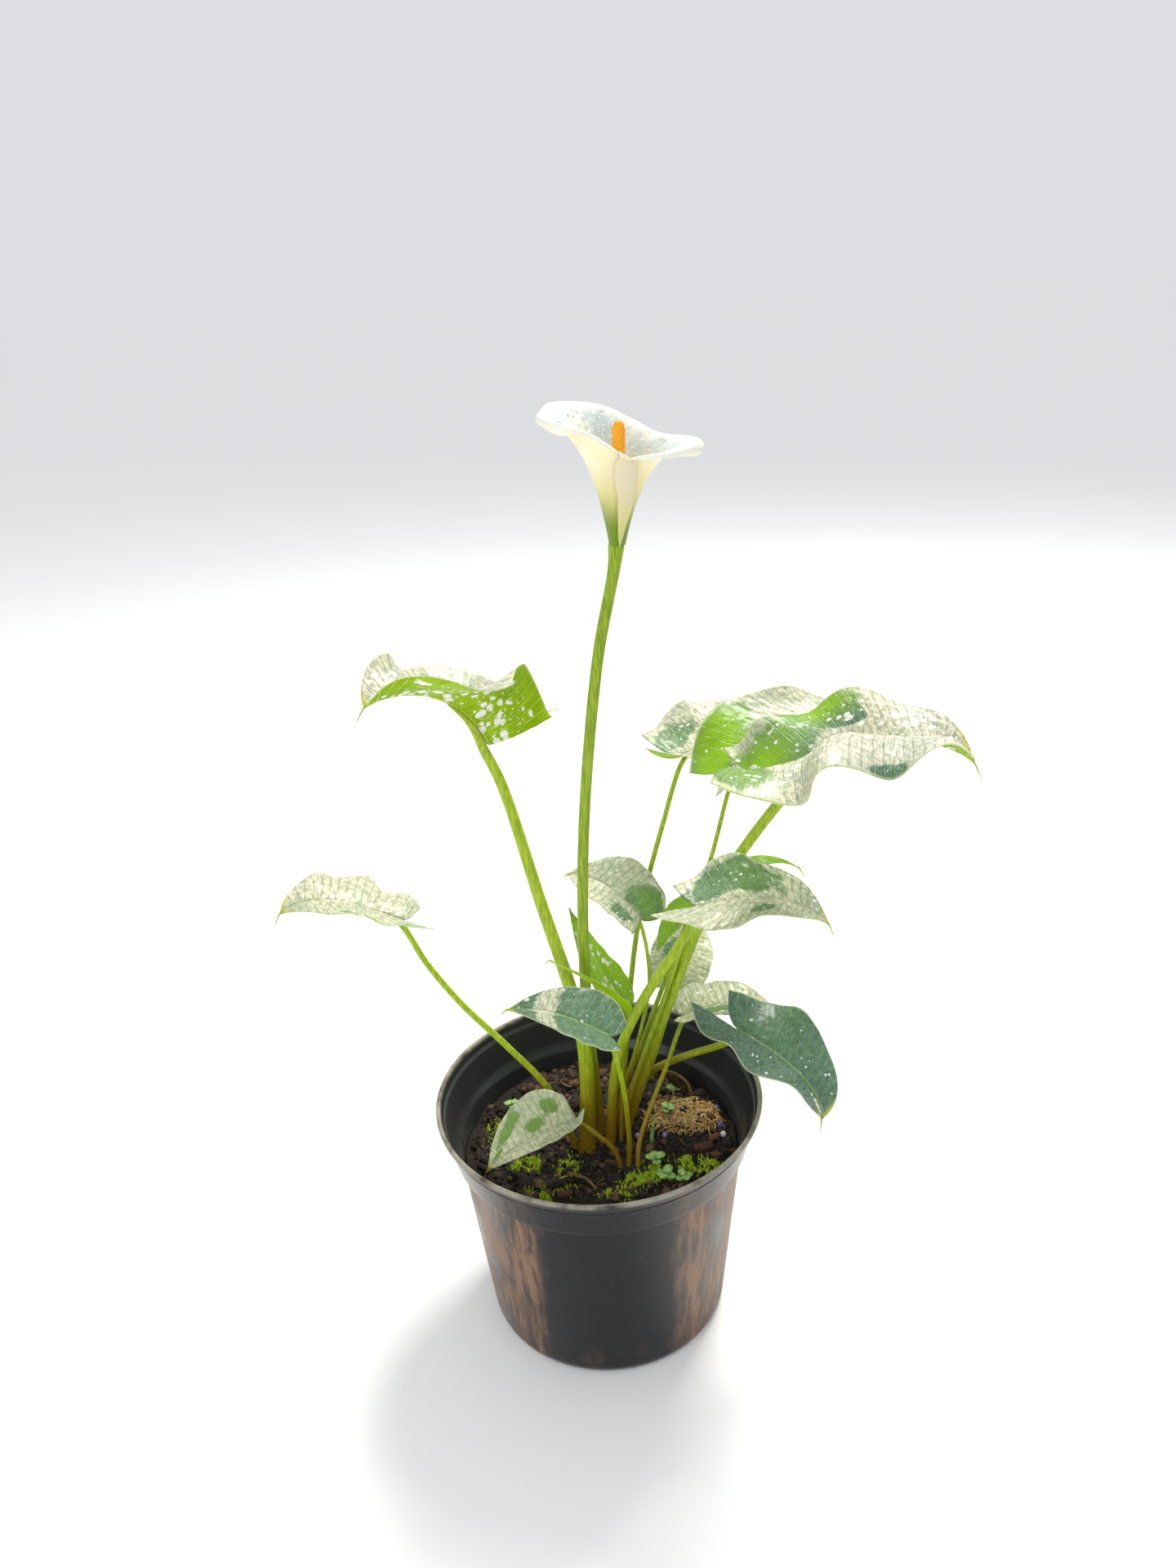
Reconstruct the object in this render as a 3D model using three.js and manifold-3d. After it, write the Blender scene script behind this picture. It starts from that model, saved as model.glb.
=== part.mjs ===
// Potted arum lily: a white funnel flower and fifteen arrow-shaped leaves in a round nursery pot.
// Millimetres, +Z up, origin at the middle of the pot's underside, the flower's open side towards -Y.

import * as THREE from 'three';
import { mergeVertices } from 'three/addons/utils/BufferGeometryUtils.js';
import Module from 'manifold-3d';

// Pot
const potHeight = 145;
const rimRadius = 95;
const rimWall = 2.7;
const bodyTopRadius = 83.5;
const baseRadius = 71.7;
const potWall = 1.2;
const potFloor = 2;
const collarHeight = 27.5;
const drainCount = 8;
const drainRadius = 5;
const drainCircle = 55;
const potSides = 36;

// Soil
const soilTop = 109;
const soilGap = 0.3;
const rootDepth = 12;

// Every piece keeps this clear of its neighbours
const gap = 0.3;
const bladeThickness = 0.7;
const tipHalfWidth = 0.6;

// Flower
const scapeRoute = [[-0.2, 3.2, 109], [-4, 4, 219], [0, 4, 310], [12, 5, 405], [22.4, 5, 452], [24.4, 5, 468]];
const scapeRadius = [3.2, 2.9];
const flowerBase = [24.4, 5, 464.5];
const flowerLean = 0.05;
const spatheThroat = 4;
const spatheThickness = 0.8;
const spatheLap = 1.8;
const spadixHeight = 53;
const spadixRadius = 3.1;

// The mouth of the funnel, every 30 degrees from the inner edge in front round to the outer edge:
// how far it reaches from the flower's axis, and how high above the funnel's foot
const mouthStart = -108;
const mouthStep = 30;
const mouth = [
  { reach: 9, height: 36 },
  { reach: 12, height: 38 },
  { reach: 17, height: 40 },
  { reach: 28, height: 41 },
  { reach: 38, height: 44 },
  { reach: 28, height: 46 },
  { reach: 27, height: 52 },
  { reach: 29, height: 60 },
  { reach: 34, height: 64 },
  { reach: 38, height: 65 },
  { reach: 36, height: 58 },
  { reach: 19, height: 51 },
  { reach: 14, height: 45 },
  { reach: 12, height: 39 },
];

// Each leaf is one piece: a stalk that follows its route from the soil to the blade, and the blade.
// Pairs give the half left of the midrib and then the half right of it, looking from stalk to tip.
// heading is the blade's direction seen from above, in degrees from +X; rise, bend and droop are the
// midrib's slope at the stalk and what it gains to the tip; fold lifts each half; opening is the
// fold's change towards the tip; curl bends each half; wave is the height of the margin's waves.
const leaves = [
  {
    name: 'leaf_tall_left',
    route: [[-8.5, -6.0, 109.0], [-7, -5, 185], [-27, 3, 276], [-42, 7, 340], [-47, 8, 362]],
    stalkRadius: [4.7, 2.7],
    length: 97, halfWidth: [37, 33], lobe: [4, 10],
    lobeSpread: 0.95, belly: 0.59, tipTaper: 0.6,
    heading: 244, swing: -21, rise: 59, bend: -50, droop: -17,
    roll: 25, twist: -50,
    fold: [58, 58], opening: [-49, -75], curl: [9, 27],
    wave: [19.0, 19.0], waves: [1.1, 1.2], wavePhase: [0.03, 0.26],
    lobeLift: [1, 11],
  },
  {
    name: 'leaf_low_left',
    route: [[-15.8, -4.5, 109.0], [-29, -3, 150], [-51, -2, 181], [-74, 0, 209], [-91, 1, 236], [-103, 2, 265]],
    stalkRadius: [2.0, 1.7],
    length: 67, halfWidth: [26, 34], lobe: [17, 11],
    lobeSpread: 0.55, belly: 0.35, tipTaper: 0.92,
    heading: 184, swing: 18, rise: 26, bend: 8, droop: -68,
    roll: 0, twist: 13,
    fold: [14, 20], opening: [-10, -3], curl: [18, -44],
    wave: [1.4, 2.6], waves: [2.3, 2.9], wavePhase: [0.07, 0.09],
    lobeLift: [3, -2],
  },
  {
    name: 'leaf_large_right',
    route: [[16.5, 12.5, 109.0], [32, 14, 156], [43, 15, 191], [73, 18, 264], [111, 20, 325]],
    stalkRadius: [3.2, 3.0],
    length: 105, halfWidth: [41, 73], lobe: [23, 9],
    lobeSpread: 0.95, belly: 0.32, tipTaper: 0.7,
    heading: -12, swing: -3, rise: 41, bend: -46, droop: -35,
    roll: 3, twist: -1,
    fold: [58, 56], opening: [-26, -26], curl: [-28, -81],
    wave: [6.3, 13.0], waves: [2.9, 2.4], wavePhase: [-0.31, 0.26],
    lobeLift: [9, 9],
  },
  {
    name: 'leaf_back_right',
    route: [[5.6, 10.6, 109.0], [16, 26, 151], [29, 52, 224], [47, 73, 280], [62, 88, 318]],
    stalkRadius: [1.7, 1.5],
    length: 76, halfWidth: [37, 22], lobe: [16, 25],
    lobeSpread: 0.54, belly: 0.31, tipTaper: 1.09,
    heading: 22, swing: 8, rise: 14, bend: -4, droop: -14,
    roll: 6, twist: -5,
    fold: [30, 21], opening: [3, 0], curl: [-8, 0],
    wave: [3.5, 3.9], waves: [2.5, 2.0], wavePhase: [0.28, 0.21],
    lobeLift: [6, 13],
  },
  {
    name: 'leaf_broad_back',
    route: [[13.0, 5.0, 109.0], [19, 5, 138], [46, 13, 213], [70, 32, 273], [90, 60, 323]],
    stalkRadius: [1.4, 1.3],
    length: 105, halfWidth: [35, 24], lobe: [23, 26],
    lobeSpread: 0.54, belly: 0.35, tipTaper: 1.08,
    heading: 27, swing: -1, rise: 32, bend: -51, droop: -7,
    roll: 2, twist: 21,
    fold: [29, 10], opening: [-12, 0], curl: [25, 4],
    wave: [5.2, 3.0], waves: [2.0, 2.0], wavePhase: [-0.05, 0.0],
    lobeLift: [-4, 0],
  },
  {
    name: 'leaf_front_small',
    route: [[15.0, -27.2, 109.0], [16, -31, 132], [13, -41, 183], [7, -48, 217]],
    stalkRadius: [1.5, 1.3],
    length: 56, halfWidth: [19, 22], lobe: [6, 10],
    lobeSpread: 0.61, belly: 0.3, tipTaper: 1.07,
    heading: 178, swing: 2, rise: 35, bend: -24, droop: -15,
    roll: 5, twist: 2,
    fold: [8, 17], opening: [1, 2], curl: [3, 7],
    wave: [0.0, 1.6], waves: [1.0, 1.1], wavePhase: [0.0, 0.13],
    lobeLift: [2, -3],
  },
  {
    name: 'leaf_middle_right',
    route: [[5.5, -2.5, 109.0], [12, -7, 172], [26, -9, 208], [46, -12, 243], [61, -15, 273]],
    stalkRadius: [2.8, 2.7],
    length: 73, halfWidth: [31, 28], lobe: [13, 27],
    lobeSpread: 0.42, belly: 0.3, tipTaper: 1.07,
    heading: -1, swing: -2, rise: 13, bend: -36, droop: -32,
    roll: 2, twist: -11,
    fold: [17, 1], opening: [6, 0], curl: [2, 4],
    wave: [3.3, 3.3], waves: [2.3, 2.0], wavePhase: [0.4, 0.03],
    lobeLift: [5, 7],
  },
  {
    name: 'leaf_middle_left',
    route: [[8.6, 5.2, 109.0], [15, 9, 140], [22, 12, 159], [33, 19, 206], [30, 23, 239], [29, 24, 245]],
    stalkRadius: [1.2, 1.1],
    length: 53, halfWidth: [28, 27], lobe: [4, 9],
    lobeSpread: 0.56, belly: 0.34, tipTaper: 1.06,
    heading: 149, swing: 0, rise: 50, bend: -51, droop: -15,
    roll: 5, twist: 6,
    fold: [7, 14], opening: [3, 7], curl: [32, -3],
    wave: [0.0, 3.1], waves: [1.5, 1.7], wavePhase: [0.0, 0.2],
    lobeLift: [-2, -3],
  },
  {
    name: 'leaf_upright_young',
    route: [[11.2, 11.5, 109.0], [19, 20, 170], [20, 23, 188]],
    stalkRadius: [1.3, 1.2],
    length: 69, halfWidth: [19, 12], lobe: [4, 5],
    lobeSpread: 0.54, belly: 0.29, tipTaper: 1.11,
    heading: 167, swing: -7, rise: 57, bend: 6, droop: 9,
    roll: 4, twist: 7,
    fold: [12, 14], opening: [-6, -2], curl: [-15, -2],
    wave: [0.0, 1.8], waves: [1.0, 1.2], wavePhase: [0.0, 0.04],
    lobeLift: [0, -5],
  },
  {
    name: 'leaf_folded_young',
    route: [[11.8, -2.5, 109.0], [16, -1, 185], [18, -1, 200]],
    stalkRadius: [1.2, 1.1],
    length: 61, halfWidth: [7, 8], lobe: [10, 10],
    lobeSpread: 0.59, belly: 0.3, tipTaper: 1.1,
    heading: 201, swing: -4, rise: 56, bend: -21, droop: 1,
    roll: -7, twist: 4,
    fold: [31, -8], opening: [0, 2], curl: [2, 4],
    wave: [0.6, 0.0], waves: [1.0, 1.0], wavePhase: [-0.02, 0.0],
    lobeLift: [-9, 1],
  },
  {
    name: 'leaf_over_soil',
    route: [[10.5, -24.0, 109.0], [7, -25, 122], [0, -26, 132], [-14, -27, 147]],
    stalkRadius: [1.5, 1.3],
    length: 56, halfWidth: [10, 27], lobe: [4, 4],
    lobeSpread: 0.51, belly: 0.3, tipTaper: 0.96,
    heading: 204, swing: 3, rise: -1, bend: -23, droop: -3,
    roll: -2, twist: 15,
    fold: [6, 13], opening: [-6, 2], curl: [-1, 5],
    wave: [0.0, 1.9], waves: [1.0, 1.1], wavePhase: [-0.0, 0.14],
    lobeLift: [9, -10],
  },
  {
    name: 'leaf_drooping_right',
    route: [[23.5, 33.0, 109.0], [32, 26, 136], [51, 18, 152], [74, 9, 166], [84, 4, 178]],
    stalkRadius: [2.3, 2.1],
    length: 72, halfWidth: [31, 26], lobe: [18, 30],
    lobeSpread: 0.47, belly: 0.33, tipTaper: 0.81,
    heading: -36, swing: 2, rise: -13, bend: -25, droop: -58,
    roll: 5, twist: -11,
    fold: [23, 8], opening: [14, 8], curl: [-5, -6],
    wave: [4.6, 4.7], waves: [2.2, 2.5], wavePhase: [0.22, -0.51],
    lobeLift: [6, 9],
  },
  {
    name: 'leaf_behind_drooping',
    route: [[20.3, -26.2, 109.0], [22, -18, 120], [32, -3, 139], [40, 8, 151], [54, 27, 176]],
    stalkRadius: [1.5, 1.3],
    length: 65, halfWidth: [23, 14], lobe: [6, 7],
    lobeSpread: 0.51, belly: 0.27, tipTaper: 1.09,
    heading: 6, swing: -6, rise: 20, bend: -49, droop: -22,
    roll: 1, twist: 1,
    fold: [13, 7], opening: [0, 0], curl: [-3, 5],
    wave: [2.4, 1.0], waves: [1.7, 1.5], wavePhase: [0.16, 0.01],
    lobeLift: [-4, 3],
  },
  {
    name: 'leaf_at_back_rim',
    route: [[12.0, 19.0, 109.0], [30, 39, 141], [49, 61, 176]],
    stalkRadius: [1.4, 1.2],
    length: 59, halfWidth: [18, 23], lobe: [5, 9],
    lobeSpread: 0.61, belly: 0.32, tipTaper: 1.14,
    heading: 64, swing: -2, rise: 53, bend: -34, droop: -10,
    roll: -7, twist: -22,
    fold: [16, 5], opening: [0, -13], curl: [6, 12],
    wave: [1.2, 3.5], waves: [1.0, 1.1], wavePhase: [0.01, -0.1],
    lobeLift: [0, 0],
  },
  {
    name: 'leaf_behind_middle',
    route: [[7.8, 16.4, 109.0], [27, 25, 157], [43, 32, 197], [60, 40, 240]],
    stalkRadius: [1.5, 1.4],
    length: 78, halfWidth: [17, 14], lobe: [33, 20],
    lobeSpread: 0.37, belly: 0.26, tipTaper: 1.08,
    heading: 21, swing: -6, rise: 42, bend: -50, droop: -33,
    roll: 5, twist: -6,
    fold: [10, 20], opening: [3, 0], curl: [-7, 4],
    wave: [3.2, 1.0], waves: [1.1, 1.0], wavePhase: [0.19, 0.0],
    lobeLift: [-7, 0],
  },
];

// Grids of a blade: rows along it and columns across it
const largeLeafLength = 70;
const largeGrid = { along: 12, across: 8, sides: 7, steps: 14 };
const smallGrid = { along: 8, across: 6, sides: 6, steps: 10 };

const colours = {
  pot: 0x141414,
  soil: 0x2a1c12,
  leaf: 0x5f8f6a,
  stem: 0x86a02a,
  spathe: 0xf4efdc,
  spadix: 0xf5a91c,
  deadLeaf: 0x7a5a3c,
  bark: 0x5a2f20,
  prill: 0x6d78c8,
  seedling: 0x8fd08a,
};

const wasm = await Module();
wasm.setup();

const radians = THREE.MathUtils.degToRad;
const lerp = THREE.MathUtils.lerp;
const clamp = THREE.MathUtils.clamp;
const vector = ([x, y, z]) => new THREE.Vector3(x, y, z);

function material(colour, roughness) {
  return new THREE.MeshStandardMaterial({ color: colour, roughness, metalness: 0 });
}

// A closed geometry as a solid that can be cut and joined
function toSolid(geometry) {
  const bare = geometry.clone();
  bare.deleteAttribute('normal');
  bare.deleteAttribute('uv');
  const merged = mergeVertices(bare, 1e-4);
  return new wasm.Manifold(new wasm.Mesh({
    numProp: 3,
    vertProperties: new Float32Array(merged.attributes.position.array),
    triVerts: new Uint32Array(merged.index.array),
  }));
}

function toGeometry(solid) {
  const mesh = solid.getMesh();
  const geometry = new THREE.BufferGeometry();
  geometry.setAttribute('position', new THREE.BufferAttribute(new Float32Array(mesh.vertProperties), 3));
  geometry.setIndex(new THREE.BufferAttribute(new Uint32Array(mesh.triVerts), 1));
  geometry.computeVertexNormals();
  return geometry;
}

function curveThrough(points) {
  return new THREE.CatmullRomCurve3(points.map((p) => (p.isVector3 ? p : vector(p))), false, 'centripetal');
}

// A round stalk along a curve: a closed cylinder bent onto it, its radius free to change on the way
function limb(curve, radiusAt, sides, steps) {
  const geometry = new THREE.CylinderGeometry(1, 1, 1, sides, steps, false);
  const frames = curve.computeFrenetFrames(steps, false);
  const position = geometry.attributes.position;
  const point = new THREE.Vector3();
  for (let i = 0; i < position.count; i += 1) {
    const step = Math.round((position.getY(i) + 0.5) * steps);
    const along = step / steps;
    const radius = radiusAt(along);
    point.copy(curve.getPointAt(along));
    point.addScaledVector(frames.binormals[step], position.getX(i) * radius);
    point.addScaledVector(frames.normals[step], position.getZ(i) * radius);
    position.setXYZ(i, point.x, point.y, point.z);
  }
  return geometry;
}

// A thin sheet: surface(s, t) gives its middle, and both faces are split into the same triangles.
// A pointed sheet's last row takes the direction of its thickness from the row before.
function sheet(surface, along, across, thickness, pointed = false) {
  const grid = new THREE.PlaneGeometry(2, 1, across, along);
  const middle = grid.attributes.position;
  const point = new THREE.Vector3();
  for (let i = 0; i < middle.count; i += 1) {
    surface(0.5 - middle.getY(i), middle.getX(i), point);
    middle.setXYZ(i, point.x, point.y, point.z);
  }
  grid.computeVertexNormals();
  const normal = grid.attributes.normal;
  const count = middle.count;
  const row = across + 1;
  if (pointed) {
    const nearTip = new THREE.Vector3().fromBufferAttribute(normal, count - row - Math.ceil(row / 2));
    for (let i = count - row; i < count; i += 1) normal.setXYZ(i, nearTip.x, nearTip.y, nearTip.z);
  }
  const positions = [];
  for (const side of [1, -1]) {
    for (let i = 0; i < count; i += 1) {
      const offset = (side * thickness) / 2;
      positions.push(middle.getX(i) + normal.getX(i) * offset);
      positions.push(middle.getY(i) + normal.getY(i) * offset);
      positions.push(middle.getZ(i) + normal.getZ(i) * offset);
    }
  }
  const faces = [];
  const index = grid.index.array;
  for (let i = 0; i < index.length; i += 3) {
    const [a, b, c] = [index[i], index[i + 1], index[i + 2]];
    faces.push(a, b, c);
    faces.push(count + a, count + c, count + b);
  }
  const border = [];
  for (let i = 0; i < across; i += 1) border.push(i);
  for (let i = 0; i < along; i += 1) border.push(i * row + across);
  for (let i = across; i > 0; i -= 1) border.push(along * row + i);
  for (let i = along; i > 0; i -= 1) border.push(i * row);
  for (let i = 0; i < border.length; i += 1) {
    const a = border[i];
    const b = border[(i + 1) % border.length];
    faces.push(a, b, count + a);
    faces.push(b, count + b, count + a);
  }
  const geometry = new THREE.BufferGeometry();
  geometry.setAttribute('position', new THREE.Float32BufferAttribute(positions, 3));
  geometry.setIndex(faces);
  return geometry;
}

function leafGrid(leaf) {
  return leaf.length >= largeLeafLength ? largeGrid : smallGrid;
}

// The midrib of a blade, as points with their own forward, side and up directions
const ribSteps = 60;

function midrib(leaf) {
  const points = [];
  const at = vector(leaf.route[leaf.route.length - 1]);
  for (let i = 0; i <= ribSteps; i += 1) {
    const u = i / ribSteps;
    const slope = radians(leaf.rise + leaf.bend * u + leaf.droop * u ** 3);
    const azimuth = radians(leaf.heading + leaf.swing * u);
    const forward = new THREE.Vector3(
      Math.cos(slope) * Math.cos(azimuth),
      Math.cos(slope) * Math.sin(azimuth),
      Math.sin(slope),
    );
    const side = new THREE.Vector3(Math.sin(azimuth), -Math.cos(azimuth), 0);
    side.applyAxisAngle(forward, -radians(leaf.roll + leaf.twist * u));
    const above = new THREE.Vector3().crossVectors(side, forward);
    if (i > 0) {
      const mean = points[i - 1].forward.clone().add(forward).multiplyScalar(0.5);
      at.addScaledVector(mean, leaf.length / ribSteps);
    }
    points.push({ at: at.clone(), forward, side, above });
  }
  return points;
}

function ribPoint(rib, u, key, target) {
  const place = clamp(u, 0, 1) * ribSteps;
  const i = Math.min(Math.floor(place), ribSteps - 1);
  return target.lerpVectors(rib[i][key], rib[i + 1][key], place - i);
}

// Where a point of the flat blade lies: along from the stalk, and out from the midrib.
// Rows follow the side veins, which sweep back into the lobes and forward to the tip.
const veinReach = 0.12;

function flatPlace(leaf, half, s, t) {
  const out = Math.abs(t);
  const nearStalk = Math.exp(-s / veinReach);
  const lobe = leaf.lobe[half];
  const edge = -lobe + (leaf.length + lobe) * s;
  const along = lerp(s * leaf.length, edge, out ** (1 - 0.4 * nearStalk));
  let width = Math.cos((Math.PI / 2) * clamp((s - leaf.belly) / (1 - leaf.belly), 0, 1)) ** leaf.tipTaper;
  if (s < leaf.belly) {
    width = lerp(leaf.lobeSpread, 1, Math.sin(((Math.PI / 2) * s) / leaf.belly));
  }
  const across = Math.max(leaf.halfWidth[half] * width, tipHalfWidth) * out ** (1 + 0.45 * nearStalk);
  return { along, across };
}

function bladeSurface(leaf) {
  const rib = midrib(leaf);
  const forward = new THREE.Vector3();
  const side = new THREE.Vector3();
  const above = new THREE.Vector3();
  return (s, t, target) => {
    const half = t >= 0 ? 1 : 0;
    const { along, across } = flatPlace(leaf, half, s, t);
    const u = along / leaf.length;
    ribPoint(rib, u, 'at', target);
    ribPoint(rib, u, 'forward', forward);
    ribPoint(rib, u, 'side', side);
    ribPoint(rib, u, 'above', above);
    const behind = Math.min(along, 0);
    target.addScaledVector(forward, behind);
    target.addScaledVector(above, leaf.lobeLift[half] * (behind / leaf.lobe[half]) ** 2);
    const fold = radians(leaf.fold[half] + leaf.opening[half] * clamp(u, 0, 1));
    const share = across / leaf.halfWidth[half];
    const bow = (radians(leaf.curl[half]) * share) / 2;
    const chord = bow === 0 ? 1 : Math.sin(bow) / bow;
    const turn = fold + 2 * bow;
    const phase = 2 * Math.PI * (leaf.waves[half] * s + leaf.wavePhase[half]);
    const ripple = leaf.wave[half] * share ** 1.5 * Math.sin(phase);
    const outward = across * chord * Math.cos(fold + bow) - ripple * Math.sin(turn);
    const upward = across * chord * Math.sin(fold + bow) + ripple * Math.cos(turn);
    target.addScaledVector(side, (t >= 0 ? 1 : -1) * outward);
    target.addScaledVector(above, upward);
  };
}

// Stalk and midrib are one limb: full at the soil, thinner at the blade, and fading out beneath it
const ribEnd = 0.45;
const ribTipRadius = 0.7;
const ribDrop = 0.8;

function stalkCurve(leaf) {
  const rib = midrib(leaf);
  const [first, ...rest] = leaf.route;
  const points = [[first[0], first[1], soilTop - rootDepth], first, ...rest.slice(0, -1)].map(vector);
  for (const u of [0, 0.12, 0.28, ribEnd]) {
    const point = ribPoint(rib, u, 'at', new THREE.Vector3());
    const above = ribPoint(rib, u, 'above', new THREE.Vector3());
    points.push(point.addScaledVector(above, -ribDrop * lerp(leaf.stalkRadius[1], ribTipRadius, u / ribEnd)));
  }
  return curveThrough(points);
}

function stalkRadiusAt(leaf, curve) {
  const stalkShare = 1 - (leaf.length * ribEnd) / curve.getLength();
  return (along) => {
    if (along < stalkShare) return lerp(leaf.stalkRadius[0], leaf.stalkRadius[1], along / stalkShare);
    return lerp(leaf.stalkRadius[1], ribTipRadius, (along - stalkShare) / (1 - stalkShare));
  };
}

// Joining the stalk to the blade leaves slivers narrower than this, which are closed up
const sliver = 0.03;

function leafStalk(leaf, swell) {
  const { sides, steps } = leafGrid(leaf);
  const curve = stalkCurve(leaf);
  const radiusAt = stalkRadiusAt(leaf, curve);
  return toSolid(limb(curve, (along) => radiusAt(along) + swell, sides, steps));
}

function leafSolid(leaf) {
  const { along, across } = leafGrid(leaf);
  const blade = toSolid(sheet(bladeSurface(leaf), along, across, bladeThickness, true));
  return blade.add(leafStalk(leaf, 0)).simplify(sliver);
}

// The hole that a stem stands in is cut by the stem itself, this much wider and let down by a gap
const holeSwell = 1.3 * gap;

function stemHole(widerStem) {
  return widerStem.translate([0, 0, -gap]);
}

// The pot: a thin wall turned round the axis, with a stepped collar under a rolled lip
function potSolid() {
  const collarFoot = potHeight - collarHeight;
  const profile = [
    [0, 0],
    [baseRadius - 5, 0],
    [baseRadius - 1.4, 1.4],
    [baseRadius, 5],
    [bodyTopRadius, collarFoot - 1],
    [bodyTopRadius + 3, collarFoot + 0.6],
    [bodyTopRadius + 7.2, potHeight - 9.4],
    [bodyTopRadius + 8.6, potHeight - 8.6],
    [rimRadius - 1.9, potHeight - 3.4],
    [rimRadius - 0.4, potHeight - 3],
    [rimRadius, potHeight - 2.2],
    [rimRadius, potHeight - 0.8],
    [rimRadius - 0.7, potHeight],
    [rimRadius - rimWall + 0.7, potHeight],
    [rimRadius - rimWall, potHeight - 0.8],
    [rimRadius - rimWall - 1, potHeight - 6.2],
    [rimRadius - rimWall - 2.7, potHeight - 7.2],
    [bodyTopRadius + 2.6, collarFoot + 4.3],
    [bodyTopRadius + 1.4, collarFoot + 2],
    [bodyTopRadius - potWall, collarFoot - 1.5],
    [baseRadius - potWall, potFloor + 3],
    [baseRadius - potWall - 3, potFloor],
    [0, potFloor],
  ];
  const turned = new THREE.LatheGeometry(profile.map(([r, z]) => new THREE.Vector2(r, z)), potSides);
  turned.rotateX(Math.PI / 2);
  let solid = toSolid(turned);
  for (let i = 0; i < drainCount; i += 1) {
    const angle = (i * 2 * Math.PI) / drainCount;
    const drill = new THREE.CylinderGeometry(drainRadius, drainRadius, 4 * potFloor, 10);
    drill.rotateX(Math.PI / 2);
    drill.translate(drainCircle * Math.cos(angle), drainCircle * Math.sin(angle), potFloor / 2);
    solid = solid.subtract(toSolid(drill));
  }
  return solid;
}

// The soil: clods over the whole top, a heap of bog moss right of the stems, and lower at the wall
function soilHeight(x, y) {
  const clods = 1.1 * Math.sin(x / 6.5 + 1) * Math.cos(y / 7.5) + 0.9 * Math.sin((x + 2 * y) / 8 + 2);
  const lumps = 0.7 * Math.cos((2 * x - y) / 5 + 0.5);
  const heap = 6 * Math.exp(-(((x - 52) / 17) ** 2) - ((y - 16) / 15) ** 2);
  const wallDip = -2.5 * clamp((Math.hypot(x, y) - 66) / 14, 0, 1) ** 2;
  return soilTop + clods + lumps + heap + wallDip;
}

const soilRings = 7;
const soilSides = 32;

function soilSolid(cutters) {
  const wallRise = potHeight - collarHeight - 6;
  const wallAt = (z) => lerp(baseRadius, bodyTopRadius, (z - 5) / wallRise) - potWall - soilGap;
  const profile = [new THREE.Vector2(0, potFloor + soilGap)];
  profile.push(new THREE.Vector2(wallAt(6) - 5, potFloor + soilGap));
  profile.push(new THREE.Vector2(wallAt(6) - 0.5, 6));
  for (let i = soilRings; i >= 0; i -= 1) {
    profile.push(new THREE.Vector2((wallAt(soilTop - 6) * i) / soilRings, soilTop));
  }
  const geometry = new THREE.LatheGeometry(profile, soilSides);
  geometry.rotateX(Math.PI / 2);
  const position = geometry.attributes.position;
  for (let i = 0; i < position.count; i += 1) {
    if (position.getZ(i) > soilTop - 1) position.setZ(i, soilHeight(position.getX(i), position.getY(i)));
  }
  return toSolid(geometry).subtract(wasm.Manifold.union(cutters));
}

// The funnel: one sheet rolled round the spadix, its outer edge lapped over its inner edge in front
function spatheSurface() {
  const stations = mouth.map(({ reach, height }, i) => new THREE.Vector3(i, reach, height));
  const rim = new THREE.CatmullRomCurve3(stations, false, 'catmullrom');
  const span = (mouth.length - 1) * mouthStep;
  const station = new THREE.Vector3();
  return (s, t, target) => {
    const turn = (t + 1) / 2;
    rim.getPoint(turn, station);
    const [, reach, height] = station.toArray();
    const profile = new THREE.CubicBezierCurve(
      new THREE.Vector2(spatheThroat, 0),
      new THREE.Vector2(spatheThroat + 3, 14),
      new THREE.Vector2(Math.min(11 + 0.1 * reach, reach), 25 + 0.41 * height),
      new THREE.Vector2(reach, height),
    );
    const place = profile.getPoint(s);
    const lap = spatheLap * THREE.MathUtils.smoothstep(turn, 0.8, 0.9);
    const radius = place.x + lap;
    const angle = radians(mouthStart + span * turn);
    target.set(
      flowerBase[0] + radius * Math.cos(angle) + flowerLean * place.y,
      flowerBase[1] + radius * Math.sin(angle),
      flowerBase[2] + place.y,
    );
  };
}

function spadixSolid() {
  const foot = 4.3;
  const points = [[0, foot], [1.9, foot], [2.3, foot + 3]];
  points.push([spadixRadius, foot + 14], [spadixRadius, spadixHeight - 6], [spadixRadius - 0.3, spadixHeight - 3]);
  points.push([spadixRadius - 1.3, spadixHeight - 0.8], [0, spadixHeight]);
  const geometry = new THREE.LatheGeometry(points.map(([r, z]) => new THREE.Vector2(r, z)), 12);
  geometry.rotateX(Math.PI / 2);
  const position = geometry.attributes.position;
  for (let i = 0; i < position.count; i += 1) {
    const z = position.getZ(i);
    position.setXYZ(
      i,
      position.getX(i) + flowerBase[0] + flowerLean * z,
      position.getY(i) + flowerBase[1],
      z + flowerBase[2],
    );
  }
  return toSolid(geometry);
}

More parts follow.
